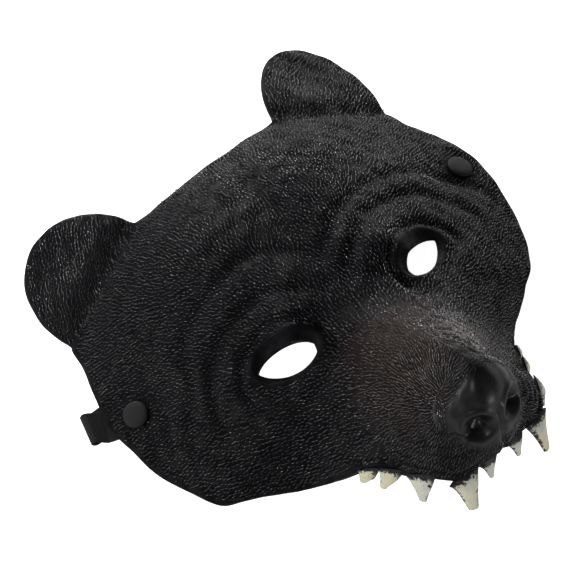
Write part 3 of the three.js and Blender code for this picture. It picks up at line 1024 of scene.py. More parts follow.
@dataclass
class MaskSkin:
    """The foam skin with its eye holes."""

    bench: Bench
    form: SkinForm
    sheet: Sheet
    thinning: int = 5
    hole_radius: float = 2.3
    hole_depth: float = 30
    hole_sides: int = 24

    def shell(self) -> bpy.types.Object:
        """The closed skin before its holes are cut.

        Returns:
            The object, with the outer face in slot 0 and the rest in slot 1.
        """
        outer, step = self.sheet, self.thinning
        rows, columns, ear = outer.rows, outer.columns // step, outer.ear_columns // step
        inner = Sheet(self.form, rows, columns, ear)
        count = len(outer.plain)
        points = np.vstack([outer.outer(), inner.inner()])
        faces = outer.faces()
        outer_count = len(faces)
        faces += inner.faces(count)
        out, back = outer.index, inner.index + count
        for row in range(rows):
            for side in (0, -1):
                faces.append([out[row, side], out[row + 1, side], back[row + 1, side], back[row, side]])
        for row in (0, rows):
            for column in range(columns):
                first, second = back[row, ear + column], back[row, ear + column + 1]
                fine = [out[row, outer.ear_columns + step * column + part] for part in range(step + 1)]
                faces.append([first, second, *fine[::-1]])
        faces = [list(map(int, dict.fromkeys(face))) for face in faces]
        piece = new_object("mask_skin", self.bench.to_frame(points), faces)
        slots = np.ones(len(faces), np.int32)
        slots[:outer_count] = 0
        piece.data.polygons.foreach_set("material_index", slots)
        return piece

    def cutters(self) -> bpy.types.Object:
        """Almond prisms at the eyes and rods at the snaps, as one object."""
        points, faces = [], []
        turn = circle(self.hole_sides)[:, None]
        for side in Side:
            centre, axis, way = self.form.seat.frame(side)
            rod = centre + self.hole_radius * (np.cos(turn) * way + np.sin(turn) * np.cross(axis, way))
            for solid_points, solid_faces in (self.form.eye.cutter(side), prism(rod, axis * self.hole_depth)):
                start = sum(len(part) for part in points)
                points.append(solid_points)
                faces += [[corner + start for corner in face] for face in solid_faces]
        return new_object("skin_cutters", self.bench.to_frame(np.vstack(points)), faces)

    def build(self) -> bpy.types.Object:
        """Builds and dresses the skin.

        Returns:
            The piece.
        """
        piece, cutters = self.shell(), self.cutters()
        cut = piece.modifiers.new("holes", "BOOLEAN")
        cut.operation, cut.solver, cut.object = "DIFFERENCE", "EXACT", cutters
        mesh = settle(piece, "mask_skin")
        discard(cutters)
        mesh.materials.clear()
        for finish in (SKIN_FINISH_WITH_GROOVE_SHADE, INSIDE_FINISH):
            mesh.materials.append(finish.material(self.bench.to_frame(self.form.bridge)))
        float_layer(mesh, "smooth_share", self.form.nose.pad(self.bench.from_frame(corners_of(mesh))))
        shade(piece, 50)
        stand_in(piece, "mask_shell")
        return piece


@dataclass(frozen=True)
class TuftCut:
    """The size and spacing of one coat's carved tufts, in millimetres."""

    coat: Coat
    spacing: float
    length: float
    width: float
    height: float
    seed: int


@dataclass
class CarvedFur:
    """Short tufts carved over the skin, which run away from the nose."""

    bench: Bench
    form: SkinForm
    sheet: Sheet
    cuts: tuple[TuftCut, ...] = (
        TuftCut(Coat.FACE, 1.48, 3.1, 0.76, 0.75, 3),
        TuftCut(Coat.EARS, 1.4, 3.6, 0.62, 0.48, 5),
        TuftCut(Coat.MUZZLE, 1.15, 3.0, 0.58, 0.4, 8),
    )
    most_dense: float = 2.5e6
    least_lean: Triple = (-0.03, -0.06, -0.22)
    most_lean: Triple = (0.12, 0.06, 0.22)
    least_size: Triple = (0.8, 0.72, 0.6)
    most_size: Triple = (1.2, 1.25, 1.35)
    eye_fade: Span = (-0.06, 0.1)
    snap_fade: Span = (6.3, 7.6)
    rim_fade: Span = (2.0, 3.6)
    pad_fade: Span = (0.3, 0.8)
    muzzle_middle: Triple = (0, -113, 82)
    muzzle_fade: Span = (48, 66)
    source: Triple = (0, -112, 72)
    side_turn: float = 1.4
    side_span: Span = (12, 60)
    comb: float = 0.7
    comb_width: float = 22
    comb_y: float = 8
    comb_length: float = 30
    comb_parting: float = 6
    waver: float = 0.18
    waver_rate: Span = (0.05, 0.11)
    left_ear_way: Triple = (0.66, 0.75, 0.1)

    def share(self, coat: Coat) -> Array:
        """How densely a coat covers the skin.

        Args:
            coat: the coat.

        Returns:
            A number from 0 to 1 for each corner of the grid.
        """
        points, eye = self.sheet.plain, self.form.eye
        bare = smooth(*self.eye_fade, eye.round(points) - eye.bare_ring(points))
        bare *= smooth(*self.snap_fade, self.form.seat.away(mirrored(points)))
        bare *= smooth(*self.rim_fade, self.sheet.to_rim)
        bare *= 1 - smooth(*self.pad_fade, self.form.nose.pad(points))
        ears = self.form.on_ear(points)
        from_muzzle = np.linalg.norm(points - np.array(self.muzzle_middle), axis=1)
        muzzle = 1 - smooth(*self.muzzle_fade, from_muzzle)
        return bare * {Coat.EARS: ears, Coat.MUZZLE: muzzle, Coat.FACE: (1 - ears) * (1 - muzzle)}[coat]

    def way(self) -> Array:
        """The way that the fur runs at each corner of the grid.

        Returns:
            Vectors away from the nose, combed to the middle of the forehead and turned on the left ear.
        """
        points, normal = self.sheet.plain, self.sheet.normal
        x, y = points[:, 0], points[:, 1]
        way = points - np.array(self.source)
        way[:, 0] *= 1 + self.side_turn * smooth(*self.side_span, np.abs(x))
        way = unit(way - normal * np.sum(way * normal, axis=1)[:, None])
        comb = bell(x, self.comb_width) * bell(y - self.comb_y, self.comb_length)
        way[:, 0] -= self.comb * comb * np.tanh(x / self.comb_parting)
        way[:, 0] += self.waver * np.sin(y * self.waver_rate[1] + x * self.waver_rate[0])
        swept = self.form.on_ear(points) * (x < 0)
        return unit(lerp(way, np.array(self.left_ear_way), swept[:, None]))

    def tuft(self) -> bpy.types.Object:
        """One tuft of unit size, lying along Y with its ridge up Z."""
        points = [
            (0, -0.5, -0.3), (0.38, -0.25, -0.35), (0.5, 0.1, -0.35), (0, 0.5, 0.0),
            (-0.5, 0.1, -0.35), (-0.38, -0.25, -0.35), (0, -0.2, 0.7), (0, 0.15, 1.0),
        ]
        faces = [
            (0, 1, 6), (1, 2, 7, 6), (2, 3, 7), (0, 6, 5), (5, 6, 7, 4), (4, 7, 3), (0, 5, 4, 3, 2, 1),
        ]
        piece = new_object("tuft_pattern", np.array(points, float), faces)
        piece.data.shade_smooth()
        return piece

    def tree(self) -> bpy.types.NodeTree:
        """The tree that lays tufts over a grid along its fur_way.

        Returns:
            The geometry node tree.
        """
        tree = bpy.data.node_groups.new("lay_tufts", "GeometryNodeTree")
        wire = Wiring(tree)
        wire.sockets("INPUT", "Geometry", "Skin")
        wire.sockets("INPUT", "Object", "Tuft")
        wire.sockets("INPUT", "Material", "Finish")
        wire.sockets("INPUT", "Float", "Spacing", "Length", "Width", "Height")
        wire.sockets("INPUT", "Int", "Seed")
        wire.sockets("OUTPUT", "Geometry", "Fur")
        inputs = wire.node("NodeGroupInput").outputs
        feeds = {
            "Mesh": inputs["Skin"], "Distance Min": inputs["Spacing"], "Density Max": self.most_dense,
            "Density Factor": wire.stored("fur_share", "FLOAT"), "Seed": inputs["Seed"],
        }
        points = wire.node("GeometryNodeDistributePointsOnFaces", feeds, distribute_method="POISSON")
        way = wire.stored("fur_way", "FLOAT_VECTOR")
        feeds = {"Primary Axis": points.outputs["Normal"], "Secondary Axis": way}
        lie = wire.node("FunctionNodeAxesToRotation", feeds, primary_axis="Z", secondary_axis="Y")
        feeds = {"Min": self.least_lean, "Max": self.most_lean, "Seed": inputs["Seed"]}
        lean = wire.node("FunctionNodeRandomValue", feeds, data_type="FLOAT_VECTOR")
        turn = wire.node("FunctionNodeEulerToRotation", {"Euler": lean.outputs[0]})
        feeds = {"Rotation": lie.outputs[0], "Rotate By": turn.outputs[0]}
        turned = wire.node("FunctionNodeRotateRotation", feeds, rotation_space="LOCAL")
        feeds = {"X": inputs["Width"], "Y": inputs["Length"], "Z": inputs["Height"]}
        size = wire.node("ShaderNodeCombineXYZ", feeds)
        feeds = {"Min": self.least_size, "Max": self.most_size, "Seed": 1}
        spread = wire.node("FunctionNodeRandomValue", feeds, data_type="FLOAT_VECTOR")
        feeds = {0: size.outputs[0], 1: spread.outputs[0]}
        scale = wire.node("ShaderNodeVectorMath", feeds, operation="MULTIPLY")
        pattern = wire.node("GeometryNodeObjectInfo", {"Object": inputs["Tuft"]})
        feeds = {
            "Points": points.outputs["Points"], "Instance": pattern.outputs["Geometry"],
            "Rotation": turned.outputs[0], "Scale": scale.outputs[0],
        }
        tufts = wire.node("GeometryNodeInstanceOnPoints", feeds)
        real = wire.node("GeometryNodeRealizeInstances", {"Geometry": tufts.outputs[0]})
        feeds = {"Geometry": real.outputs[0], "Material": inputs["Finish"]}
        dressed = wire.node("GeometryNodeSetMaterial", feeds)
        wire.node("NodeGroupOutput", {"Fur": dressed.outputs[0]})
        return tree

    def build(self) -> list[bpy.types.Object]:
        """Lays and dresses every coat.

        Returns:
            The pieces, one for each coat.
        """
        points, faces = self.bench.to_frame(self.sheet.outer()), self.sheet.faces()
        way, tree, tuft = self.way(), self.tree(), self.tuft()
        finish = FUR_FINISH.material(self.bench.to_frame(self.form.bridge))
        pieces = []
        for cut in self.cuts:
            name = f"fur_{cut.coat.value}"
            piece = new_object(name, points, faces)
            float_layer(piece.data, "fur_share", self.share(cut.coat))
            vector_layer(piece.data, "fur_way", way)
            values = {
                "Tuft": tuft, "Finish": finish, "Spacing": cut.spacing * MM, "Length": cut.length * MM,
                "Width": cut.width * MM, "Height": cut.height * MM, "Seed": cut.seed,
            }
            lay_tree(piece, tree, values)
            settle(piece, name)
            stand_in(piece, "mask_shell")
            pieces.append(piece)
        discard(tuft)
        return pieces


@dataclass(frozen=True)
class EnamelFinish:
    """Cream tooth paint with black smears at the root, down the edges and in the tip."""

    cream: Colour = (0.5, 0.46, 0.32, 1)
    grey: Colour = (0.42, 0.43, 0.38, 1)
    grime: Colour = (0.2, 0.17, 0.1, 1)
    black: Colour = (0.005, 0.005, 0.006, 1)
    specular: float = 0.12
    fleck_grain: Triple = (620, 3, 0.65)
    fleck_middle: float = 0.5
    mottle_grain: Triple = (170, 3, 0.6)
    mottle_span: Span = (0.35, 0.65)
    cream_span: Span = (0.5, 1.5)
    grime_span: Span = (0.5, 0.75)
    grime_share: float = 0.25
    root_ragged: float = 0.55
    root_fade: float = 0.08
    edge_ragged: float = 0.9
    edge_span: Span = (0.88, 1.0)
    rough_span: Span = (0.3, 0.7)
    rough: Span = (0.35, 0.5)
    bump: float = 0.35
    fleck_depth: float = 0.0003

    def material(self, yellow: float, stain: float) -> bpy.types.Material:
        """Makes the paint.

        Args:
            yellow: how far the grey turns to cream.
            stain: the share of the tooth that is black at the root.

        Returns:
            The material.
        """
        material, wire, shader = new_material("tooth_paint")
        place = wire.place()
        fleck = wire.noise(place, *self.fleck_grain)
        ragged = wire.math("SUBTRACT", fleck, self.fleck_middle)
        mottle = wire.ramp(wire.noise(place, *self.mottle_grain), *self.mottle_span)
        share = wire.math("ADD", mottle, yellow)
        paint = wire.mix(wire.ramp(share, *self.cream_span), self.grey, self.cream)
        dirt = wire.math("MULTIPLY", wire.ramp(fleck, *self.grime_span), self.grime_share)
        paint = wire.mix(dirt, paint, self.grime)
        root = wire.math("ADD", wire.layer("tooth_run"), wire.math("MULTIPLY", ragged, self.root_ragged))
        root = wire.ramp(root, stain, stain + self.root_fade, 1, 0)
        sides = wire.math("ADD", wire.layer("tooth_edge"), wire.math("MULTIPLY", ragged, self.edge_ragged))
        smear = wire.math("MAXIMUM", root, wire.ramp(sides, *self.edge_span))
        smear = wire.math("MAXIMUM", smear, wire.layer("tooth_bore"))
        feeds = {
            "Base Color": wire.mix(smear, paint, self.black),
            "Roughness": wire.ramp(fleck, *self.rough_span, *self.rough),
            "Specular IOR Level": self.specular,
            "Normal": wire.bump(self.bump, self.fleck_depth, fleck),
        }
        wire.feed(shader, feeds)
        return material


@dataclass(frozen=True)
class Tooth:
    """One kind of tooth, hung from the lip at a place on the skin.

    The tip is a share of the girth. The root hangs a drop below the lip, the axis leans outward by the
    spread and forward by the lead, and the swing turns the tooth backward.
    """

    name: str
    station: float
    across: float
    length: float
    width: float
    depth: float
    tip: float
    drop: float
    spread: float
    lead: float
    yellow: float
    stain: float
    flare: float
    swing: float = 0


@dataclass
class Teeth:
    """The ten upper teeth."""

    bench: Bench
    form: SkinForm
    sides: int = 40
    rings: int = 26
    lip_step: float = 0.05
    root_sink: float = 1.2
    root_girth: float = 0.8
    root_depth: float = 0.3
    thin_span: Span = (-0.12, 0.34)
    lean_span: Span = (-0.05, 0.4)
    crowding: float = 0.9
    waist: float = 0.1
    hole: float = 0.6
    # Millimetres past the tip, and girth as a share of the tip's for the lip and of the hole's for its steps.
    tip_lip: Span = (0.15, 0.85)
    hole_steps: tuple[Span, ...] = ((0, 1), (-0.8, 0.9), (-1.6, 0.7))
    wobbles: tuple[Span, ...] = ((0.03, 3), (0.02, 7))
    kinds: tuple[Tooth, ...] = (
        Tooth(
            "incisor", LAST_STATION, 0.33, length=11.5, width=7, depth=5, tip=0.3, drop=0.6,
            spread=0.3, lead=0, yellow=0.0, stain=0.08, flare=0.35,
        ),
        Tooth(
            "canine", LAST_STATION, 0.87, length=20, width=13, depth=7.5, tip=0.33, drop=-0.8,
            spread=0.42, lead=0, yellow=0.6, stain=0.05, flare=0.12, swing=math.radians(32),
        ),
        Tooth(
            "premolar_front", 22.6, 1, length=16, width=11, depth=6.5, tip=0.33, drop=0.3,
            spread=0.15, lead=0.32, yellow=0.2, stain=0.1, flare=0.35,
        ),
        Tooth(
            "premolar_middle", 20.2, 1, length=16, width=9.5, depth=6, tip=0.28, drop=0.3,
            spread=0.33, lead=0.15, yellow=0.7, stain=0.1, flare=0.3,
        ),
        Tooth(
            "premolar_back", 18.65, 1, length=12, width=9, depth=5.5, tip=0.33, drop=0.3,
            spread=0.25, lead=0.05, yellow=0.7, stain=0.1, flare=0.4,
        ),
    )

    def face(self, station: float, across: float, inner: bool) -> Array:
        """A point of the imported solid's outer or inner face."""
        form = self.form
        spot = np.array([station], float), np.array([across], float)
        plain = form.plain(*spot)
        rise = form.broad_relief(plain) - form.layers.wall if inner else form.solid_relief(plain)
        return (plain + form.normal(*spot) * rise[:, None])[0]

    def lip_way(self, tooth: Tooth, side: Side) -> Array:
        """The way along the lip's edge at a tooth."""
        step = self.lip_step
        on_front = tooth.across < 1
        ahead, behind = (
            self.face(tooth.station, side.value * (tooth.across + move), True)
            if on_front
            else self.face(tooth.station + move, side.value * tooth.across, True)
            for move in (step, -step)
        )
        return unit(ahead - behind)

    def girth(self, tooth: Tooth, part: Array) -> Array:
        """A tooth's girth, flared at the root, as a share of its width."""
        waist = self.waist * np.sin(np.pi * part) * (1 - part)
        return lerp(1, tooth.tip, part**self.crowding) - waist + tooth.flare * (1 - part) ** 2

    def profile(self, tooth: Tooth) -> tuple[Array, Array, Array]:
        """The rings of a tooth from its sunk root to the bottom of the hole in its tip.

        Args:
            tooth: its kind.

        Returns:
            For each ring, its share of the length, its girth, and 1 inside the hole.
        """
        body = np.linspace(0, 1, self.rings) ** self.crowding
        past, lip = self.tip_lip
        hole, length = np.array(self.hole_steps), tooth.length
        part = np.concatenate([[-self.root_sink], body * length, [length + past], length + hole[:, 0]])
        root = self.girth(tooth, np.zeros(1)) * self.root_girth
        inside = self.hole * tooth.tip * hole[:, 1]
        girth = np.concatenate([root, self.girth(tooth, body), [lip * tooth.tip], inside])
        bore = np.concatenate([np.zeros(len(body) + 2), np.ones(len(hole))])
        return part / length, girth, bore

    def rings_of(self, tooth: Tooth, side: Side, part: Array, girth: Array) -> Array:
        """The corners of a tooth, ring by ring.

        Args:
            tooth: its kind.
            side: its half of the face.
            part: each ring's share of the length.
            girth: each ring's girth.

        Returns:
            The points, in the mask's own millimetres.
        """
        spot = tooth.station, side.value * tooth.across
        outer, inner = self.face(*spot, inner=False), self.face(*spot, inner=True)
        through, lip = unit(outer - inner), self.lip_way(tooth, side)
        axis = unit(unit(through * np.array([1, 1, 0])) * tooth.spread + np.array([0, -tooth.lead, -1]))
        down = unit(np.cross(lip, through))
        down = -down if down[2] > 0 else down
        root = (outer + inner) / 2 + down * tooth.drop
        along, swung = (
            unit(lip * math.cos(swing) + np.array([0, math.sin(swing), 0]))
            for swing in (tooth.swing / 2, tooth.swing)
        )
        level = unit(swung - axis * (swung @ axis))
        facing, root_across = unit(np.cross(level, axis)), unit(np.cross(along, down))
        lean = smooth(*self.lean_span, part)[:, None]
        thinned = lerp(self.root_depth, 1, smooth(*self.thin_span, part))
        wide = lerp(along, level, lean) * (tooth.width / 2 * girth)[:, None]
        deep = lerp(root_across, facing, lean) * (tooth.depth / 2 * girth * thinned)[:, None]
        turn = circle(self.sides)
        (first, first_count), (second, second_count) = self.wobbles
        wobble = 1 + first * np.sin(first_count * turn + tooth.length)
        wobble += second * np.sin(second_count * turn + tooth.width)
        cosine, sine = (np.cos(turn) * wobble)[:, None], (np.sin(turn) * wobble)[:, None]
        middle = root + axis * (tooth.length * part)[:, None]
        return (middle[:, None] + cosine * wide[:, None] + sine * deep[:, None]).reshape(-1, 3)

    def build_tooth(self, tooth: Tooth, side: Side) -> bpy.types.Object:
        """Builds and dresses one tooth.

        Args:
            tooth: its kind.
            side: its half of the face.

        Returns:
            The piece.
        """
        part, girth, bore = self.profile(tooth)
        points = self.rings_of(tooth, side, part, girth)
        name = f"tooth_{tooth.name}_{side.word}"
        faces = tube_faces(len(part), self.sides)
        piece = new_object(f"{name}_painted", self.bench.to_frame(points), faces)
        edge = np.abs(np.cos(circle(self.sides))) ** 0.5
        float_layer(piece.data, "tooth_run", np.repeat(part, self.sides))
        float_layer(piece.data, "tooth_edge", np.tile(edge, len(part)))
        float_layer(piece.data, "tooth_bore", np.repeat(bore, self.sides))
        piece.data.materials.append(EnamelFinish().material(tooth.yellow, tooth.stain))
        shade(piece, 55)
        stand_in(piece, name)
        return piece

    def build(self) -> list[bpy.types.Object]:
        """Builds every tooth on both sides."""
        return [self.build_tooth(tooth, side) for side in Side for tooth in self.kinds]


@dataclass(frozen=True)
class SatinFinish:
    """Smooth dark plastic or rubbed elastic, with a slight mottle."""

    name: str
    dark: Colour
    light: Colour
    rough: float
    grain: float
    bump: float
    specular: float
    depth: float = 0.0002

    def material(self) -> bpy.types.Material:
        """Makes the material."""
        material, wire, shader = new_material(self.name)
        mottle = wire.noise(wire.place(), self.grain, 3, 0.6)
        feeds = {
            "Base Color": wire.mix(wire.ramp(mottle, 0.3, 0.7), self.dark, self.light),
            "Roughness": wire.ramp(mottle, 0.2, 0.8, self.rough - 0.05, self.rough + 0.08),
            "Specular IOR Level": self.specular,
            "Normal": wire.bump(self.bump, self.depth, mottle),
        }
        wire.feed(shader, feeds)
        return material


SNAP_FINISH = SatinFinish(
    "snap_cap",
    dark=(0.005, 0.005, 0.006, 1),
    light=(0.008, 0.008, 0.009, 1),
    rough=0.65,
    grain=900,
    bump=0.06,
    specular=0.16,
)
ELASTIC_FINISH = SatinFinish(
    "elastic",
    dark=(0.003, 0.003, 0.0036, 1),
    light=(0.007, 0.007, 0.008, 1),
    rough=0.8,
    grain=1800,
    bump=0.5,
    specular=0.2,
)


@dataclass
class Snaps:
    """The two snap rivets: cap, post and back flange."""

    bench: Bench
    seat: SnapSeat
    layers: Layers
    sides: int = 64
    cap_radius: float = 6
    cap_height: float = 2.2
    post_radius: float = 2
    flange_radius: float = 4.5
    flange_height: float = 1
    front_edge: float = 0.15
    back_edge: float = 0.25
    # Radius and height of the cap from its middle to its seat, as shares of its own.
    cap: tuple[Span, ...] = (
        (0, 1), (0.25, 0.99), (0.5, 0.955), (0.7, 0.89), (0.85, 0.79), (0.94, 0.66), (0.985, 0.52),
        (1, 0.38), (1, 0.22), (0.985, 0.15), (0.95, 0.136),
    )

    def profile(self) -> Array:
        """Radius and height down the rivet, from the middle of the cap."""
        clearance = self.layers.clearance
        grip = self.layers.wall + self.layers.strap + 2 * clearance
        post, flange, foot = self.post_radius, self.flange_radius, grip + self.flange_height
        front, back = self.front_edge, self.back_edge
        rows = [(self.cap_radius * out, self.cap_height * up) for out, up in self.cap]
        rows += [(post, clearance), (post, -grip), (flange - front, -grip), (flange, -grip - front)]
        rows += [(flange, -foot + back), (flange - back, -foot), (0, -foot)]
        return np.array(rows)

    def build(self) -> list[bpy.types.Object]:
        """Turns and dresses both rivets."""
        profile, count = self.profile(), self.sides
        turn = circle(count)[:, None]
        finish = SNAP_FINISH.material()
        pieces = []
        for side in Side:
            centre, axis, way = self.seat.frame(side)
            spokes = np.cos(turn) * way + np.sin(turn) * np.cross(axis, way)
            rings = [centre + axis * up + out * spokes for out, up in profile[1:-1]]
            points = np.vstack([*rings, centre + axis * profile[0, 1], centre + axis * profile[-1, 1]])
            faces = tube_faces(len(rings), count, closed=False)
            last, ends = (len(rings) - 1) * count, len(points)
            for place in range(count):
                following = (place + 1) % count
                faces.append([ends - 2, place, following])
                faces.append([ends - 1, last + following, last + place])
            piece = new_object(f"snap_{side.word}_rivet", self.bench.to_frame(points), faces)
            piece.data.materials.append(finish)
            shade(piece, 50)
            stand_in(piece, f"snap_{side.word}")
            pieces.append(piece)
        return pieces


@dataclass
class ElasticStrap:
    """The flat elastic, from the left snap under the mask to the right one, with its cross ribs."""

    bench: Bench
    seat: SnapSeat
    layers: Layers
    width: float = 15
    tab: float = 6
    fold: float = 2.1
    pull: float = 22
    duck: float = 15
    duck_z: float = 2.1
    lift: float = 0.3
    right_out: float = 6
    right_lead: float = 4
    leaves: float = math.radians(32)
    fold_slant: float = math.radians(17)
    left_bends: tuple[float, ...] = (80, 45, 10, -25, -60, -90)
    right_bends: tuple[float, ...] = (-90, -60, -30, 0, 30, 60)
    flat_stops: tuple[float, ...] = (0.08, 0.12, 0.94, 0.98)
    step: float = 0.7
    smoothing: tuple[float, ...] = (1, 2, 3, 2, 1)
    selvedge: float = 0.45
    selvedge_thickness: float = 0.3
    rib_pitch: float = 1.15
    rib_share: float = 0.42
    rib_rise: float = 0.16
    rib_sink: float = 0.02
    rib_sides: int = 8

    def on_seat(self, side: Side, turn: float, out: float) -> tuple[Array, Array]:
        """A stop under a seat, with the way across the strap there."""
        centre, axis, outward = self.seat.frame(side)
        way = outward * math.cos(turn)
        way[1] = math.sin(turn)
        depth = self.layers.wall + self.layers.clearance + self.layers.strap / 2
        return centre - axis * depth + way * out, unit(np.cross(way, axis)) * -side.value

    def in_plan(self, turn: float) -> Array:
        """The way across the strap where it lies flat at a turn."""
        return np.array([math.sin(turn), math.cos(turn), 0])

    def line(self) -> tuple[Array, Array]:
        """The strap's middle line and the way across it, stop by stop.

        Returns:
            The stops and the ways across.
        """
        low = self.layers.strap / 2 + self.lift
        leaving = np.array([-math.cos(self.leaves), math.sin(self.leaves), 0])
        snap = self.on_seat(Side.LEFT, self.leaves, 0)[0]
        duck, left_fold = snap + leaving * self.duck, snap + leaving * self.pull
        duck[2], left_fold[2] = self.duck_z, low + self.fold
        stops = [self.on_seat(Side.LEFT, self.leaves, out) for out in (-self.tab, 0, self.tab)]
        stops.append((duck, self.in_plan(self.leaves)))
        fold_way = np.array([-math.cos(self.fold_slant), math.sin(self.fold_slant), 0])
        for swing in np.radians(self.left_bends):
            bend = fold_way * math.cos(swing) + np.array([0, 0, math.sin(swing)])
            stops.append((left_fold + bend * self.fold, self.in_plan(self.fold_slant)))
        top = self.on_seat(Side.RIGHT, 0, self.right_out)[0]
        radius = (top[2] - low) / (1 + math.cos(self.seat.tilt))
        right_fold = np.array([top[0] - radius * math.sin(self.seat.tilt), top[1], low + radius])
        run = (right_fold - left_fold) * np.array([1, 1, 0])
        across = unit(np.array([-run[1], run[0], 0]))
        for part in self.flat_stops:
            stop = left_fold + run * part
            stop[2] = low
            stops.append((stop, across))
        for swing in np.radians(self.right_bends):
            bend = np.array([math.cos(swing), 0, math.sin(swing)]) * radius
            stops.append((right_fold + bend, across))
        stops += [self.on_seat(Side.RIGHT, 0, out) for out in (self.right_lead, 0, -self.tab)]
        return np.array([stop for stop, _ in stops]), np.array([way for _, way in stops])

    def even(self) -> tuple[Array, Array, Array]:
        """The line at even steps: points, ways across and ways up out of the strap."""
        stops, ways = self.line()
        run = run_of(stops)
        at = np.linspace(0, run[-1], int(run[-1] / self.step))
        points, across = sampled(at, run, stops), unit(sampled(at, run, ways))
        kernel = np.array(self.smoothing) / sum(self.smoothing)
        reach = len(kernel) // 2
        for axis in range(3):
            padded = np.pad(points[:, axis], reach, mode="edge")
            points[reach:-reach, axis] = np.convolve(padded, kernel, "valid")[reach:-reach]
        ahead = np.gradient(points, axis=0)
        return points, across, unit(np.cross(ahead, across))

    def band(self, points: Array, across: Array, up: Array) -> bpy.types.Object:
        """The strap's plain band with rounded selvedges."""
        half, thick = self.width / 2, self.layers.strap / 2
        inside, thin = half - self.selvedge, thick * self.selvedge_thickness
        section = [(inside, thick), (-inside, thick), (-half, thin), (-half, -thin)]
        section += [(-inside, -thick), (inside, -thick), (half, -thin), (half, thin)]
        rings = np.stack([points + across * out + up * rise for out, rise in section], 1)
        faces = tube_faces(len(points), len(section))
        return new_object("strap_band", self.bench.to_frame(rings.reshape(-1, 3)), faces)

    def seats(self, points: Array, across: Array, up: Array) -> bpy.types.Object:
        """Points on both faces of the band where the ribs lie, with rib_across and rib_up."""
        run = run_of(points)
        at = np.arange(self.rib_pitch, run[-1] - self.rib_pitch, self.rib_pitch)
        middle, wide, high = (sampled(at, run, rows) for rows in (points, across, up))
        wide, high = unit(wide), unit(high)
        half = self.layers.strap / 2 - self.rib_sink
        spots = np.vstack([middle + high * half, middle - high * half])
        seats = new_object("rib_seats", self.bench.to_frame(spots), [])
        vector_layer(seats.data, "rib_across", np.vstack([wide, wide]))
        vector_layer(seats.data, "rib_up", np.vstack([high, high]))
        return seats

    def tree(self) -> bpy.types.NodeTree:
        """The tree that adds ribs over the band, at points with rib_across and rib_up.

        Returns:
            The geometry node tree.
        """
        tree = bpy.data.node_groups.new("lay_ribs", "GeometryNodeTree")
        wire = Wiring(tree)
        wire.sockets("INPUT", "Geometry", "Band")
        wire.sockets("INPUT", "Object", "Seats")
        wire.sockets("INPUT", "Material", "Finish")
        wire.sockets("INPUT", "Float", "Rib Length", "Rib Radius", "Rib Rise")
        wire.sockets("OUTPUT", "Geometry", "Strap")
        inputs = wire.node("NodeGroupInput").outputs
        spots = wire.node("GeometryNodeObjectInfo", {"Object": inputs["Seats"]}).outputs["Geometry"]
        across, up = wire.stored("rib_across", "FLOAT_VECTOR"), wire.stored("rib_up", "FLOAT_VECTOR")
        feeds = {"Primary Axis": across, "Secondary Axis": up}
        lie = wire.node("FunctionNodeAxesToRotation", feeds, primary_axis="Z", secondary_axis="Y")
        feeds = {"Vertices": self.rib_sides, "Radius": 1.0, "Depth": 1.0}
        rod = wire.node("GeometryNodeMeshCylinder", feeds)
        feeds = {"X": inputs["Rib Radius"], "Y": inputs["Rib Rise"], "Z": inputs["Rib Length"]}
        size = wire.node("ShaderNodeCombineXYZ", feeds).outputs[0]
        feeds = {"Points": spots, "Instance": rod.outputs["Mesh"], "Rotation": lie.outputs[0], "Scale": size}
        ribs = wire.node("GeometryNodeInstanceOnPoints", feeds)
        real = wire.node("GeometryNodeRealizeInstances", {"Geometry": ribs.outputs[0]})
        joined = wire.node("GeometryNodeJoinGeometry")
        tree.links.new(real.outputs[0], joined.inputs[0])
        tree.links.new(inputs["Band"], joined.inputs[0])
        feeds = {"Geometry": joined.outputs[0], "Material": inputs["Finish"]}
        wire.node("NodeGroupOutput", {"Strap": wire.node("GeometryNodeSetMaterial", feeds).outputs[0]})
        return tree

    def build(self) -> bpy.types.Object:
        """Builds and dresses the strap.

        Returns:
            The piece.
        """
        run = self.even()
        seats, piece = self.seats(*run), self.band(*run)
        values = {
            "Seats": seats, "Finish": ELASTIC_FINISH.material(),
            "Rib Length": (self.width - 2 * self.selvedge) * MM,
            "Rib Radius": self.rib_share * self.rib_pitch * MM, "Rib Rise": self.rib_rise * MM,
        }
        lay_tree(piece, self.tree(), values)
        settle(piece, "elastic_band")
        discard(seats)
        shade(piece, 40)
        stand_in(piece, "elastic_strap")
        return piece


@dataclass(frozen=True)
class Lamp:
    """A soft light that looks at the mask.

    Its turn from +X and its climb above the table are in degrees, its reach and size in metres and its
    power in watts.
    """

    name: str
    turn: float
    climb: float
    power: float
    reach: float = 1.3
    size: Span = (0.15, 0.15)

    def hang(self) -> None:
        """Hangs the light."""
        lamp = bpy.data.lights.new(self.name, "AREA")
        lamp.shape, lamp.energy = "RECTANGLE", self.power
        lamp.size, lamp.size_y = self.size
        holder = bpy.data.objects.new(self.name, lamp)
        around, above = math.radians(self.turn), math.radians(self.climb)
        level = math.cos(above)
        way = Vector((math.cos(around) * level, math.sin(around) * level, math.sin(above)))
        turned = way.to_track_quat("Z", "Y").to_matrix().to_4x4()
        holder.matrix_world = Matrix.Translation(way * self.reach) @ turned
        bpy.context.scene.collection.objects.link(holder)


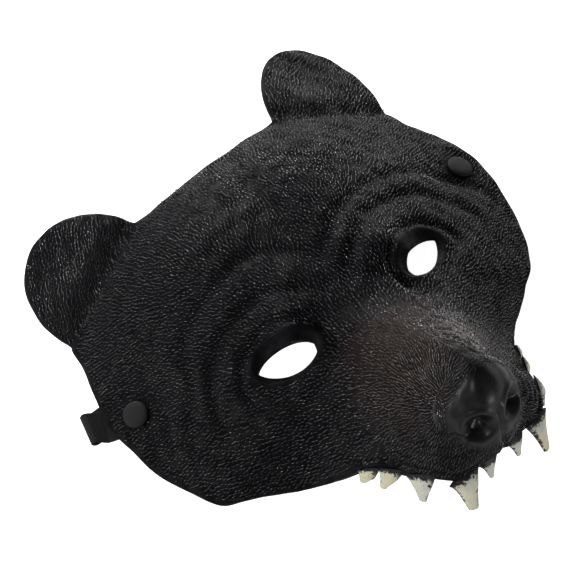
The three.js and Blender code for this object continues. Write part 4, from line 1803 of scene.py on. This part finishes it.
@dataclass
class Studio:
    """A pale floor, soft lights and the camera over the muzzle's left side.

    The camera's angles are in radians, its distance in millimetres, and its focal length and the shift of
    its middle in pixels of the photo's frame.
    """

    bench: Bench
    floor_side: float = 8.0
    floor_drop: float = 0.0006
    floor_glow: float = 0.97
    floor_bounce: float = 0.2
    floor_tones: tuple[Colour, Colour] = ((0.88, 0.88, 0.88, 1), (0.92, 0.92, 0.92, 1))
    room_light: float = 0.12
    turn: float = 0.324808
    climb: float = -0.382426
    roll: float = 0.777762
    distance: float = 1163.836
    focal: float = 2578.867
    aim_z: float = 9
    middle: Span = (11.476, 1.4998)
    clip: Span = (0.05, 20)
    lamps: tuple[Lamp, ...] = (
        Lamp("back_card", 36, 8, 15, 1.6, (1.3, 0.55)),
        Lamp("lamp_0", 60, 34, 2.5),
        Lamp("lamp_1", 80, 20, 12.5),
        Lamp("lamp_2", 118, 44, 8),
        Lamp("lamp_3", 165, 15, 8.5),
        Lamp("lamp_4", -150, 34, 3.5),
        Lamp("front_card", -80, 4, 5, 1.3, (0.5, 0.14)),
    )

    def floor(self) -> None:
        """Lays the floor under the mask."""
        half = self.floor_side / 2
        corners = [(x * half, y * half, -self.floor_drop) for x, y in ((-1, -1), (1, -1), (1, 1), (-1, 1))]
        piece = new_object("floor", np.array(corners), [[0, 1, 2, 3]])
        material, wire, shader = new_material("pale_floor")
        seen = wire.node("ShaderNodeLightPath").outputs["Is Camera Ray"]
        feeds = {
            "Base Color": wire.mix(wire.noise(wire.place(), 3, 2), *self.floor_tones),
            "Roughness": 0.9,
            "Emission Color": (1, 1, 1, 1),
            "Emission Strength": wire.ramp(seen, 0, 1, self.floor_bounce, self.floor_glow),
        }
        wire.feed(shader, feeds)
        piece.data.materials.append(material)

    def world(self) -> None:
        """Fills the room with even light."""
        world = bpy.data.worlds.new("room")
        world.use_nodes = True
        wire = Wiring(world.node_tree)
        seen = wire.node("ShaderNodeLightPath").outputs["Is Camera Ray"]
        feeds = {"Color": (1, 1, 1, 1), "Strength": wire.ramp(seen, 0, 1, self.room_light, 1)}
        wire.feed(world.node_tree.nodes["Background"].inputs, feeds)
        bpy.context.scene.world = world

    def camera(self) -> None:
        """Sets the camera at the photo's angle."""
        sine, cosine = math.sin(self.turn), math.cos(self.turn)
        back = np.array([-sine * math.cos(self.climb), math.sin(self.climb), cosine * math.cos(self.climb)])
        level = np.array([cosine, 0, sine])
        upright = np.cross(back, level)
        right = math.cos(self.roll) * level - math.sin(self.roll) * upright
        up = math.sin(self.roll) * level + math.cos(self.roll) * upright
        place = self.bench.to_frame(back * self.distance + np.array([0, 0, self.aim_z]))
        lens = bpy.data.cameras.new("photo_camera")
        lens.sensor_width, lens.sensor_fit = SENSOR, "HORIZONTAL"
        lens.lens = self.focal / IMAGE_SIDE * SENSOR
        lens.shift_x, lens.shift_y = -self.middle[0] / IMAGE_SIDE, self.middle[1] / IMAGE_SIDE
        lens.clip_start, lens.clip_end = self.clip
        holder = bpy.data.objects.new("photo_camera", lens)
        turned = Matrix((right, up, back)).transposed()
        holder.matrix_world = Matrix.Translation(Vector(place)) @ turned.to_4x4()
        bpy.context.scene.collection.objects.link(holder)
        bpy.context.scene.camera = holder

    def build(self) -> None:
        """Sets the camera, lays the floor and hangs the lights."""
        self.camera()
        self.floor()
        self.world()
        for lamp in self.lamps:
            lamp.hang()
        view = bpy.context.scene.view_settings
        view.view_transform, view.look, view.exposure = "Standard", "None", 0


def triangles(piece: bpy.types.Object) -> int:
    """The number of triangles of a piece."""
    piece.data.calc_loop_triangles()
    return len(piece.data.loop_triangles)


def main() -> None:
    """Builds every piece in order and reports it."""
    logging.basicConfig(level=logging.INFO, format="%(message)s")
    form = SkinForm()
    bench, sheet = Bench.from_snaps(form.seat.y), Sheet(form)
    pieces = [MaskSkin(bench, form, sheet).build()]
    pieces += CarvedFur(bench, form, sheet).build()
    pieces += Teeth(bench, form).build()
    pieces += Snaps(bench, form.seat, form.layers).build()
    pieces.append(ElasticStrap(bench, form.seat, form.layers).build())
    for piece in pieces:
        log.info("%s: %d triangles", piece.name, triangles(piece))
    Studio(bench).build()


if __name__ == "__main__":
    main()
